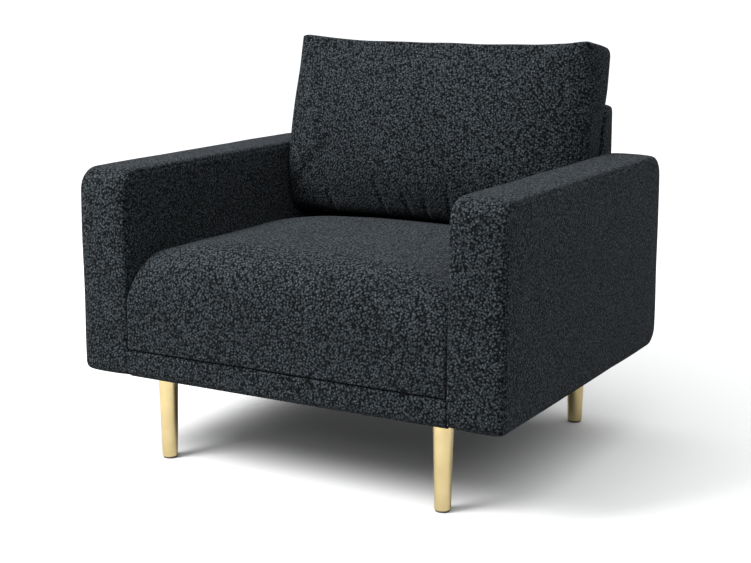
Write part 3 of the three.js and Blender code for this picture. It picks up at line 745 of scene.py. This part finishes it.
def seat_shape(x, y, z):
    front_top = round_edge(z - seat_height(x, y), -HALF_DEPTH - y, SEAT_FRONT_ROUND)
    rise = smooth_step(z, 310 * MM, 390 * MM)
    arm_round = SEAT_LOW_ARM_ROUND + (SEAT_ARM_ROUND - SEAT_LOW_ARM_ROUND) * rise
    with_sides = round_edge(front_top, np.abs(x) - SEAT_HALF, arm_round)
    closed = round_edge(with_sides, SEAT_LOW - z, 5 * MM)
    closed = round_edge(closed, y - SEAT_BACK, 8 * MM)
    frame_room = np.maximum(z - FOAM_LOW, -(y + HALF_DEPTH - SEAT_SKIN))
    return np.maximum(closed, -frame_room)


def turn_in(piece):
    """Folds the front edges in where the seat and the band are sewn together."""
    points = points_of(piece)
    at_front = points[:, 1] < -HALF_DEPTH + TURN_DEPTH
    near = np.exp(-((np.abs(points[:, 2] - SEAM_Z) / TURN_WIDTH) ** 2)) * at_front
    points[:, 1] += TURN_DEPTH * near
    put_points(piece, points)


seat = block(
    "seat",
    [
        (-HALF_DEPTH, SEAT_LOW),
        (-HALF_DEPTH, SEAT_CROWN),
        (SEAT_SLOPE_START, SEAT_CROWN),
        (SEAT_BACK, SEAT_CROWN - (SEAT_BACK - SEAT_SLOPE_START) * math.tan(LEAN)),
        (SEAT_BACK, FOAM_LOW),
        (-HALF_DEPTH + SEAT_SKIN, FOAM_LOW),
        (-HALF_DEPTH + SEAT_SKIN, SEAT_LOW),
    ],
    -SEAT_HALF,
    SEAT_HALF,
    SEAT_GRID,
)
draw_onto(seat, seat_shape, 10)
at = points_of(seat)
free = (
    smooth_step(SEAT_HALF - np.abs(at[:, 0]), 2 * MM, 70 * MM)
    * smooth_step(at[:, 2], SEAT_LOW + 4 * MM, SEAT_LOW + 90 * MM)
    * smooth_step(100 * MM - at[:, 1], 0, 120 * MM)
)
inside = (at[:, 2] < FOAM_LOW + 2 * MM) & (at[:, 1] > -HALF_DEPTH + 4 * MM)
stuff(seat, SEAT_SWELL, np.where(inside, 1.0, 1.0 - free))
push_out(
    seat,
    lambda x, y, z: SEAT_RUCK
    * waves(x, y, z, 0.17, 4.0)
    * smooth_step(SEAT_HALF - np.abs(x), 4 * MM, 50 * MM),
)
finer(seat)
finer_near(seat, lambda x, y, z: np.where(y < -350 * MM, np.abs(z - SEAM_Z), 1.0), 14 * MM)
turn_in(seat)
at = points_of(seat)
at[:, 0] = np.clip(at[:, 0], -SEAT_HALF, SEAT_HALF)
put_points(seat, at)
dress(seat, tweed, "chair", "tweed_fabric", "seat_cover", "seat_foam")

# %% [markdown]
# The band is the same cloth over thin wadding. Its top edge and the seat's lower edge both turn in, and
# that makes the seam's fine dark line. At its ends it stays nearly flush with the arms.

# %% Front band
BAND_HIGH = SEAM_Z + 0.6 * MM
BAND_GRID = 3.4 * MM
BAND_RUCK = 0.5 * MM


def band_shape(x, y, z):
    face = round_edge(-HALF_DEPTH - y, z - BAND_HIGH, 2 * MM)
    face = round_edge(face, ARM_LOW - z, 16 * MM)
    face = round_edge(face, np.abs(x) - SEAT_HALF, 2 * MM)
    return round_edge(face, y + HALF_DEPTH - SEAT_SKIN, 1.5 * MM)


band = block(
    "front_band",
    [
        (-HALF_DEPTH, ARM_LOW),
        (-HALF_DEPTH, BAND_HIGH),
        (-HALF_DEPTH + SEAT_SKIN, BAND_HIGH),
        (-HALF_DEPTH + SEAT_SKIN, ARM_LOW),
    ],
    -SEAT_HALF,
    SEAT_HALF,
    BAND_GRID,
)
draw_onto(band, band_shape)
push_out(band, lambda x, y, z: BAND_RUCK * waves(x, y, z, 0.14, 2.0) * (y < -HALF_DEPTH + 3 * MM))
turn_in(band)
dress(band, tweed, "chair", "tweed_fabric", "front_rail_facing")

# %% [markdown]
# ## The padded back
#
# Between the arms stands a padded frame that the loose cushion leans on. Its front face leans back by about
# nine degrees. Only its top, its outer back and one end show, so it gets soft corners and a slight fullness
# on its back face, where the cloth is pulled over thin wadding.

# %% Padded back
BACK_TOP = 662 * MM
BACK_TOP_FACE = 332 * MM
BACK_FOOT = 402 * MM
BACK_FOOT_FACE = 289.9 * MM
BACK_EDGE = 14 * MM
BACK_GRID = 6.5 * MM
BACK_FULLNESS = 4 * MM
BACK_RUCK = 0.7 * MM


def back_shape(x, y, z):
    leaning = ((BACK_TOP_FACE - y) + (z - BACK_TOP) * math.tan(LEAN)) * math.cos(LEAN)
    front = np.maximum(leaning, BACK_FOOT_FACE - y)
    crown = 2.5 * MM * (1 - np.clip(np.abs(x) / SEAT_HALF, 0, 1) ** 4)
    top = z - BACK_TOP - crown
    rim = round_edge(front, top, BACK_EDGE)
    rim = round_edge(rim, y - HALF_DEPTH, BACK_EDGE)
    rim = round_edge(rim, np.abs(x) - SEAT_HALF, 9 * MM)
    return round_edge(rim, ARM_LOW - z, 5 * MM)


back = block(
    "back_pad",
    [
        (BACK_FOOT_FACE, ARM_LOW),
        (BACK_FOOT_FACE, BACK_FOOT),
        (BACK_TOP_FACE, BACK_TOP),
        (HALF_DEPTH, BACK_TOP),
        (HALF_DEPTH, ARM_LOW),
    ],
    -SEAT_HALF,
    SEAT_HALF,
    BACK_GRID,
)
draw_onto(back, back_shape)


def back_fullness(x, y, z):
    outer = smooth_step(y, HALF_DEPTH - 12 * MM, HALF_DEPTH - 2 * MM)
    away = smooth_step(SEAT_HALF - np.abs(x), 0, 90 * MM) * smooth_step(BACK_TOP - z, 0, 90 * MM)
    away = away * smooth_step(z - ARM_LOW, 0, 90 * MM)
    return outer * (BACK_FULLNESS * away + BACK_RUCK * waves(x, y, z, 0.2, 7.0))


push_out(back, back_fullness)
finer(back)
dress(back, tweed, "chair", "tweed_fabric", "back_cover", "back_foam")

# %% [markdown]
# ## The loose cushion
#
# The cushion is a boxed pad filled with fibre. It's drawn in its own frame: across, up along its leaning
# back, and forward from that back. Its front panel crowns and is fullest below the middle, because the
# fill settles. The fill doesn't reach into the top front corners, so they stand up as soft ears with a
# slight dip between them.

# %% Cushion frame
lift = next(j for j in frame["joints"] if j["name"] == "back_cushion_lift")
UP = np.array(lift["axis"], float)
UP /= np.linalg.norm(UP)
FORWARD = np.array([0.0, -UP[2], UP[1]])
CUSHION_FOOT = np.array([0.0, 288.4 * MM, 402 * MM])
CUSHION_HALF = 336 * MM
CUSHION_HEIGHT = 381 * MM
CUSHION_EDGE_DEPTH = 105 * MM
CUSHION_GRID = 6 * MM
CUSHION_SWELL = 14 * MM


def lean_back(piece):
    """Moves a piece drawn as (across, forward, up) into the frame file's axes.

    The three directions are left-handed, so the move mirrors the piece and its faces must be turned out.
    """
    local = points_of(piece)
    put_points(
        piece,
        CUSHION_FOOT
        + local[:, :1] * np.array([1.0, 0.0, 0.0])
        + local[:, 1:2] * FORWARD
        + local[:, 2:] * UP,
    )
    piece.data.flip_normals()


def stand_up(points):
    """The other way round: points of the frame file as (across, forward, up) on the cushion."""
    local = points - CUSHION_FOOT
    return local[:, 0], local @ FORWARD, local @ UP


print("cushion leans", round(math.degrees(math.asin(UP[1])), 2), "degrees")

# %% [markdown]
# The shape is one formula. The fill has settled to one side, so the right side is slack and falls back,
# while the left side is full. The foot tucks under. Where the front panel is eased into the bottom seam, a
# few puckers rise from the seam and fade out. Each has its own place, width and height in millimetres.

# %% Cushion shape
CROWN = 36 * MM
BELLY = 18 * MM
TOP_SAG = 8 * MM
BACK_ROUND = 14 * MM
TOP_ROUND = 11 * MM
FOOT_ROUND = 40 * MM
FOOT_TUCK, TUCK_HEIGHT = 14 * MM, 120 * MM
SIDE_SLUMP = {-1: -12 * MM, 1: 24 * MM}
BACK_CORNER, FRONT_CORNER = 16 * MM, 9 * MM
SIDE_SLACK = {-1: 3 * MM, 1: 9 * MM}
SEAM_REACH = 14 * MM
PUCKER_DEPTH = 5 * MM
PUCKERS = [
    (-225, 5, 90),
    (-95, 6, 140),
    (-35, 5, 100),
    (2, 5, 80),
    (58, 5, 120),
    (96, 6, 90),
    (150, 5, 130),
    (220, 6, 110),
]


def arch(t, power=2.0):
    """1 in the middle and 0 at both ends, for t from -1 to 1."""
    return 1 - np.clip(np.abs(t), 0, 1) ** power


def front_depth(x, up):
    """How far forward the front panel stands."""
    t = np.clip(up / CUSHION_HEIGHT, 0, 1)
    belly = BELLY * np.sin(math.pi * t**0.75) ** 1.5
    tuck = FOOT_TUCK * (1 - smooth_step(up, 0, TUCK_HEIGHT))
    slump = np.where(x > 0, SIDE_SLUMP[1], SIDE_SLUMP[-1]) * smooth_step(np.abs(x), 215 * MM, CUSHION_HALF)
    crown = CROWN * arch(x / CUSHION_HALF) * np.sin(math.pi * t**0.72) ** 0.8
    return CUSHION_EDGE_DEPTH + belly + crown - tuck - slump * np.sin(math.pi * t**0.6) ** 0.7


def side_round(x, up):
    """The radius between the front panel and a side: wide and slack on the right, small at the ears."""
    t = np.clip(up / CUSHION_HEIGHT, 0, 1)
    return (10 + np.where(x > 0, 40, 12) * (1 - t**6)) * MM


def cushion_shape(x, forward, up):
    share = np.clip(forward / CUSHION_EDGE_DEPTH, 0, 1)
    slack = np.where(x > 0, SIDE_SLACK[1], SIDE_SLACK[-1])
    over_arm = smooth_step(up, 190 * MM, 310 * MM) * (1 - smooth_step(forward, 20 * MM, 110 * MM))
    sides = np.abs(x) - CUSHION_HALF - slack * over_arm
    ear = np.exp(-(((np.abs(x) - 322 * MM) / (np.where(x > 0, 26, 70) * MM)) ** 2)) * share
    top = up - CUSHION_HEIGHT + TOP_SAG * arch(x / CUSHION_HALF, 3.0) - 5 * MM * ear
    front = forward - front_depth(x, up)
    rim = round_edge(sides, top, BACK_CORNER + (FRONT_CORNER - BACK_CORNER) * share)
    rim = round_edge(rim, -forward, BACK_ROUND)
    rim = round_edge(rim, -up, BACK_ROUND)
    edges = [round_edge(front, sides, side_round(x, up)), round_edge(front, top, TOP_ROUND)]
    return np.maximum.reduce([rim, *edges, round_edge(front, -up, FOOT_ROUND)])


def front_seam(x, forward, up):
    """Distance to the seam round the front panel, on the boxing's side of the round edge."""
    ahead = forward - front_depth(x, up)
    beside = np.where(CUSHION_HALF - np.abs(x) < SEAM_REACH, ahead + side_round(x, up), 1.0)
    above = np.where(CUSHION_HEIGHT - up < SEAM_REACH, ahead + TOP_ROUND, 1.0)
    return np.minimum(np.abs(beside), np.abs(above))


def puckers(x, forward, up):
    depth = np.zeros_like(x)
    for middle, width, height in PUCKERS:
        lean = 0.12 * up * np.sign(middle)
        fade = smooth_step(up, 0, 24 * MM) * (1 - smooth_step(up, 0.3 * height * MM, height * MM))
        spread = width * MM * (0.7 + 0.9 * np.clip(up / (height * MM), 0, 1))
        depth += fade * np.exp(-(((x - middle * MM - lean) / spread) ** 2))
    return depth * smooth_step(forward, 50 * MM, 90 * MM)


cushion = block(
    "back_cushion",
    [
        (0.0, 0.0),
        (CUSHION_EDGE_DEPTH + CROWN, 0.0),
        (CUSHION_EDGE_DEPTH + CROWN, CUSHION_HEIGHT),
        (0.0, CUSHION_HEIGHT),
    ],
    -CUSHION_HALF,
    CUSHION_HALF,
    CUSHION_GRID,
)
draw_onto(cushion, cushion_shape, 12)
print("cushion grid:", len(cushion.data.vertices), "points,", len(PUCKERS), "puckers")

# %% [markdown]
# Filling the cushion is a cloth simulation. Its underside rests on the seat and its back on the padded
# frame, so both are held flat, and the seams are held part way. What swells is the front panel.

# %% Fill the cushion
CREASE_DEPTH, CREASE_WIDTH = 0.7 * MM, 3.5 * MM
CUSHION_RUCK = 1.2 * MM
x, forward, up = points_of(cushion).T
seams = np.exp(-((front_seam(x, forward, up) / (12 * MM)) ** 2))
resting = 1 - smooth_step(np.minimum(forward, up), 2 * MM, 30 * MM)
sides = 1 - smooth_step(CUSHION_HALF - np.abs(x), 2 * MM, 12 * MM)
held = np.clip(np.maximum.reduce([0.7 * seams, resting, 0.7 * sides]), 0, 1)
lean_back(cushion)
stuff(cushion, CUSHION_SWELL, held)
finer(cushion)
world_points = points_of(cushion)
x, forward, up = stand_up(world_points)
world_normals = normals_of(cushion)
inwards = PUCKER_DEPTH * puckers(x, forward, up)
facing = np.sqrt(np.clip(world_normals @ FORWARD, 0, 1))
crease = CREASE_DEPTH * np.exp(-((front_seam(x, forward, up) / CREASE_WIDTH) ** 2))
ruck = CUSHION_RUCK * waves(x, forward, up, 0.13, 5.0) * smooth_step(forward, 30 * MM, 90 * MM)
put_points(cushion, world_points + world_normals * (ruck - inwards * facing - crease)[:, None])
print("deepest pucker:", round(float((inwards * facing).max()) / MM, 1), "mm")

# %% [markdown]
# A zip runs along the underside, so that the cover comes off for cleaning. It lies in a shallow channel
# between two folds of the cover, a little longer than the tape at both ends.

# %% Zip channel
ZIP_HALF = 280 * MM
ZIP_FORWARD = 52.5 * MM
ZIP_UP = 8 * MM
CHANNEL_HALF = 12.6 * MM
points = points_of(cushion)
x, forward, up = stand_up(points)
in_length = 1 - smooth_step(np.abs(x), ZIP_HALF + 8 * MM, ZIP_HALF + 16 * MM)
in_width = 1 - smooth_step(np.abs(forward - ZIP_FORWARD), CHANNEL_HALF - 1 * MM, CHANNEL_HALF + 3 * MM)
depth = np.where(up < 20 * MM, in_length * in_width, 0) * np.maximum(ZIP_UP + 0.3 * MM - up, 0)
put_points(cushion, points + depth[:, None] * UP)
dress(cushion, tweed, "back_cushion", "tweed_fabric", "cushion_cover", "cushion_filling")

# %% [markdown]
# The tape is woven, with a row of small teeth down the middle. The slider is a cast body with a bridge and
# a pull that lies flat.

# %% Zip tape and slider
def add_block(made, low, high, bevel=0.0, taper=1.0):
    """A small block with cut corners. taper narrows its top across the first axis."""
    corners = []
    middle = (low[0] + high[0]) / 2
    for z, share in ((low[2], 1.0), (high[2], taper)):
        for x, y in ((low[0], low[1]), (high[0], low[1]), (high[0], high[1]), (low[0], high[1])):
            corners.append(made.verts.new((middle + (x - middle) * share, y, z)))
    sides = [(0, 1, 2, 3), (4, 5, 6, 7), (0, 1, 5, 4), (1, 2, 6, 5), (2, 3, 7, 6), (3, 0, 4, 7)]
    faces = [made.faces.new([corners[i] for i in side]) for side in sides]
    if bevel:
        edges = list({edge for face in faces for edge in face.edges})
        bmesh.ops.bevel(made, geom=edges, offset=bevel, segments=2, affect="EDGES", profile=0.6)


TOOTH_PITCH = 2.5 * MM
TAPE_LOW = 6.6 * MM
tape = bmesh.new()
for side in (-1, 1):
    near, far = sorted((ZIP_FORWARD + side * 0.4 * MM, ZIP_FORWARD + side * 11.8 * MM))
    add_block(tape, (-ZIP_HALF, near, TAPE_LOW + 0.4 * MM), (ZIP_HALF, far, ZIP_UP - 0.2 * MM), 0.15 * MM)
for i in range(round(2 * ZIP_HALF / TOOTH_PITCH) - 2):
    at_x = -ZIP_HALF + (i + 1.5) * TOOTH_PITCH
    shift = 0.7 * MM if i % 2 else -0.7 * MM
    low = (at_x - 0.7 * MM, ZIP_FORWARD + shift - 2.2 * MM, TAPE_LOW)
    high = (at_x + 0.7 * MM, ZIP_FORWARD + shift + 2.2 * MM, TAPE_LOW + 0.8 * MM)
    add_block(tape, low, high, taper=1.25)
zip_tape = mesh_piece("zip_tape", tape)
lean_back(zip_tape)
dress(zip_tape, webbing, "back_cushion", "webbing", "cushion_zip_tape")
zip_tape.data.shade_flat()

slider = bmesh.new()
SLIDER_END = -ZIP_HALF
body = [(0, 4.2), (3, 5.0), (9, 4.6), (14, 2.6), (14, -2.6), (9, -4.6), (3, -5.0), (0, -4.2)]
for low, high in ((3.9, 5.8), (2.7, 3.2)):
    ring = [
        [slider.verts.new((SLIDER_END + a * MM, ZIP_FORWARD + b * MM, z * MM)) for a, b in body]
        for z in (low, high)
    ]
    slider.faces.new(ring[0])
    slider.faces.new(ring[1])
    for i in range(len(body)):
        slider.faces.new((ring[0][i - 1], ring[0][i], ring[1][i], ring[1][i - 1]))
edges = list(slider.edges)
bmesh.ops.bevel(slider, geom=edges, offset=0.25 * MM, segments=2, affect="EDGES", profile=0.6)
bridge_low = (SLIDER_END + 2.5 * MM, ZIP_FORWARD - 0.9 * MM, 1.6 * MM)
bridge_high = (SLIDER_END + 11 * MM, ZIP_FORWARD + 0.9 * MM, 4.2 * MM)
add_block(slider, bridge_low, bridge_high, 0.4 * MM)
pull_low = (SLIDER_END + 6 * MM, ZIP_FORWARD - 2.6 * MM, 2.0 * MM)
pull_high = (SLIDER_END + 25 * MM, ZIP_FORWARD + 2.6 * MM, 2.9 * MM)
add_block(slider, pull_low, pull_high, 0.4 * MM)
zip_slider = mesh_piece("zip_slider_body", slider)
lean_back(zip_slider)
dress(zip_slider, zinc, "zip_slider", "zinc_steel", "cushion_zip_slider")
zip_slider.data.shade_flat()

# %% [markdown]
# ## Legs
#
# Each leg is a tapered steel tube, plated in brass, with a rolled foot and a nylon glide pressed into its
# end. It screws onto a stud in the seat frame. Turning a profile makes it, in the way that a lathe would.

# %% Legs and glides
LEG_TURNS = 72


def lathe(name, profile, x, y):
    """Turns a closed (radius, height) profile round a vertical axis, in millimetres."""
    made = bmesh.new()
    rings = []
    for i in range(LEG_TURNS):
        angle = 2 * math.pi * i / LEG_TURNS
        rings.append([
            made.verts.new((x + r * MM * math.cos(angle), y + r * MM * math.sin(angle), z * MM))
            for r, z in profile
        ])
    for i in range(LEG_TURNS):
        for j in range(len(profile)):
            made.faces.new((rings[i - 1][j - 1], rings[i][j - 1], rings[i][j], rings[i - 1][j]))
    return mesh_piece(name, made)


def arc(radius, middle_r, middle_z, start, end, steps=5):
    """Points of an arc, by angle from straight out to straight up."""
    angles = [math.radians(start + (end - start) * i / steps) for i in range(steps + 1)]
    return [(middle_r + radius * math.cos(a), middle_z + radius * math.sin(a)) for a in angles]


LEG_TOP_RADIUS = 19.5
LEG_FOOT_RADIUS = 15.0
LEG_LOW, LEG_HIGH = 3.3, 173.0
FOOT_ROLL, TOP_ROLL = 1.8, 1.0
STUD_HOLE, STUD_DEPTH = 4.6, 30.0
LEG_BORE = 13.0
GLIDE_RADIUS, GLIDE_PLUG, GLIDE_HIGH = 13.4, 12.3, 14.0
LEG_X, LEG_Y = 298 * MM, 304 * MM
LEG_PLACES = {
    f"{end}_{side}": (sx * LEG_X, sy * LEG_Y)
    for end, sy in (("front", -1), ("back", 1))
    for side, sx in (("left", -1), ("right", 1))
}
leg_profile = [
    *arc(FOOT_ROLL, LEG_FOOT_RADIUS - FOOT_ROLL, LEG_LOW + FOOT_ROLL, -90, 0),
    *[
        (
            LEG_FOOT_RADIUS + (LEG_TOP_RADIUS - LEG_FOOT_RADIUS) * t,
            LEG_LOW + 2 + (LEG_HIGH - LEG_LOW - 3) * t,
        )
        for t in (0.02, 0.25, 0.5, 0.75)
    ],
    *arc(TOP_ROLL, LEG_TOP_RADIUS - TOP_ROLL, LEG_HIGH - TOP_ROLL, 0, 90),
    (STUD_HOLE, LEG_HIGH),
    (STUD_HOLE, LEG_HIGH - STUD_DEPTH),
    (LEG_BORE, LEG_HIGH - STUD_DEPTH),
    (LEG_BORE - 0.2, LEG_LOW + 12),
    (LEG_BORE - 0.1, LEG_LOW),
]
glide_profile = [
    *arc(1.2, GLIDE_RADIUS - 1.2, 1.2, -90, 0),
    (GLIDE_RADIUS, 2.6),
    *arc(0.5, GLIDE_RADIUS - 0.5, 2.6, 0, 90, 2),
    (GLIDE_PLUG, 3.1),
    (GLIDE_PLUG - 0.2, GLIDE_HIGH),
    (1.5, GLIDE_HIGH),
    (1.5, 0.6),
    (3.0, 0.0),
]
for place, (x, y) in LEG_PLACES.items():
    leg = lathe(f"tapered_leg_{place}", leg_profile, x, y)
    dress(leg, brass, f"{place}_leg", "brass_finish", f"leg_{place}")
    glide = lathe(f"glide_{place}", glide_profile, x, y)
    dress(glide, nylon, f"{place}_leg", "black_plastic", f"leg_glide_{place}")

# %% [markdown]
# ## The underside
#
# A thin dust cloth closes the underside. It's one rectangle, cut out round the legs, stretched flat and
# stapled to the rails. It sags by a few millimetres between them.

# %% Underside cloth
CLOTH_HALF_WIDTH = 337.5 * MM
CLOTH_FRONT, CLOTH_BACK = -366.5 * MM, 368.5 * MM
CLOTH_Z = 172.8 * MM
LEG_HOLE = 24.5 * MM
CLOTH_SAG = 3 * MM
HOLE_HEM = 4 * MM
COLUMNS, ROWS = 90, 98


def sag(x, y):
    """How far the cloth hangs below its edges."""
    return -CLOTH_SAG * arch(x / CLOTH_HALF_WIDTH) * arch(y / CLOTH_BACK)


cloth_mesh = bmesh.new()
grid = [
    [
        cloth_mesh.verts.new((
            -CLOTH_HALF_WIDTH + 2 * CLOTH_HALF_WIDTH * i / COLUMNS,
            CLOTH_FRONT + (CLOTH_BACK - CLOTH_FRONT) * j / ROWS,
            CLOTH_Z,
        ))
        for j in range(ROWS + 1)
    ]
    for i in range(COLUMNS + 1)
]
for i in range(COLUMNS):
    for j in range(ROWS):
        cloth_mesh.faces.new((grid[i][j], grid[i + 1][j], grid[i + 1][j + 1], grid[i][j + 1]))
holes = []
for vertex in cloth_mesh.verts:
    for x, y in LEG_PLACES.values():
        away = Vector((vertex.co.x - x, vertex.co.y - y))
        if away.length < LEG_HOLE - HOLE_HEM:
            holes.append(vertex)
        elif away.length < LEG_HOLE + HOLE_HEM:
            vertex.co.x, vertex.co.y = Vector((x, y)) + away.normalized() * LEG_HOLE
bmesh.ops.delete(cloth_mesh, geom=holes, context="VERTS")
for vertex in cloth_mesh.verts:
    vertex.co.z += sag(vertex.co.x, vertex.co.y)
cloth_sheet = mesh_piece("dust_cloth_sheet", cloth_mesh)
thickness = cloth_sheet.modifiers.new("thickness", "SOLIDIFY")
thickness.thickness = 0.5 * MM
keep_modifiers(cloth_sheet)
dress(cloth_sheet, dust_cloth, "chair", "black_cloth", "underside_cloth")

staples = bmesh.new()
STAPLE_PITCH = 48 * MM
for side in (-1, 1):
    for i in range(round(2 * CLOTH_HALF_WIDTH / STAPLE_PITCH)):
        x = -CLOTH_HALF_WIDTH + (i + 0.5) * STAPLE_PITCH
        y = (CLOTH_FRONT + 10 * MM) if side < 0 else (CLOTH_BACK - 12 * MM)
        low = (x - 5 * MM, y - 0.6 * MM, CLOTH_Z - 0.9 * MM)
        add_block(staples, low, (x + 5 * MM, y + 0.6 * MM, CLOTH_Z - 0.1 * MM), 0.2 * MM)
    for i in range(round((CLOTH_BACK - CLOTH_FRONT) / STAPLE_PITCH)):
        y = CLOTH_FRONT + (i + 0.5) * STAPLE_PITCH
        x = side * (CLOTH_HALF_WIDTH - 10 * MM)
        low = (x - 0.6 * MM, y - 5 * MM, CLOTH_Z - 0.9 * MM)
        add_block(staples, low, (x + 0.6 * MM, y + 5 * MM, CLOTH_Z - 0.1 * MM), 0.2 * MM)
staple_row = mesh_piece("dust_cloth_staples", staples)
dress(staple_row, zinc, "chair", "zinc_steel")

# %% [markdown]
# ## The frame inside
#
# The hidden parts keep their true shapes from the frame file. They only need their finishes. Each finish
# takes its place from the part's name, since every name says what the part is.

# %% Finishes on the hidden frame
CAD_FINISHES = [
    ("arm_board", board), ("back_board", board),
    ("arm_bolt", zinc), ("leg_stud", zinc), ("leg_plate", zinc),
    ("long_strap", webbing), ("cross_strap", webbing),
    ("", timber),
]
finished = 0
for name, part in frame["nodes"].items():
    if part.hide_render:
        continue
    finish = next(finish for start, finish in CAD_FINISHES if name.startswith(start))
    for material_slot in part.material_slots:
        material_slot.link = "OBJECT"
        material_slot.material = finish
    finished += 1
print("hidden parts finished:", finished)

# %% [markdown]
# ## Measure and finish
#
# The whole model is measured once more, and the sizes of both boxes are printed.

# %% Sizes
visual_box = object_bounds()
sizes = {
    "cad": [list(map(float, corner)) for corner in cad_box],
    "visual": [list(map(float, corner)) for corner in visual_box],
}
for label, (low, high) in sizes.items():
    print(label, [round(h - l, 4) for l, h in zip(low, high)])
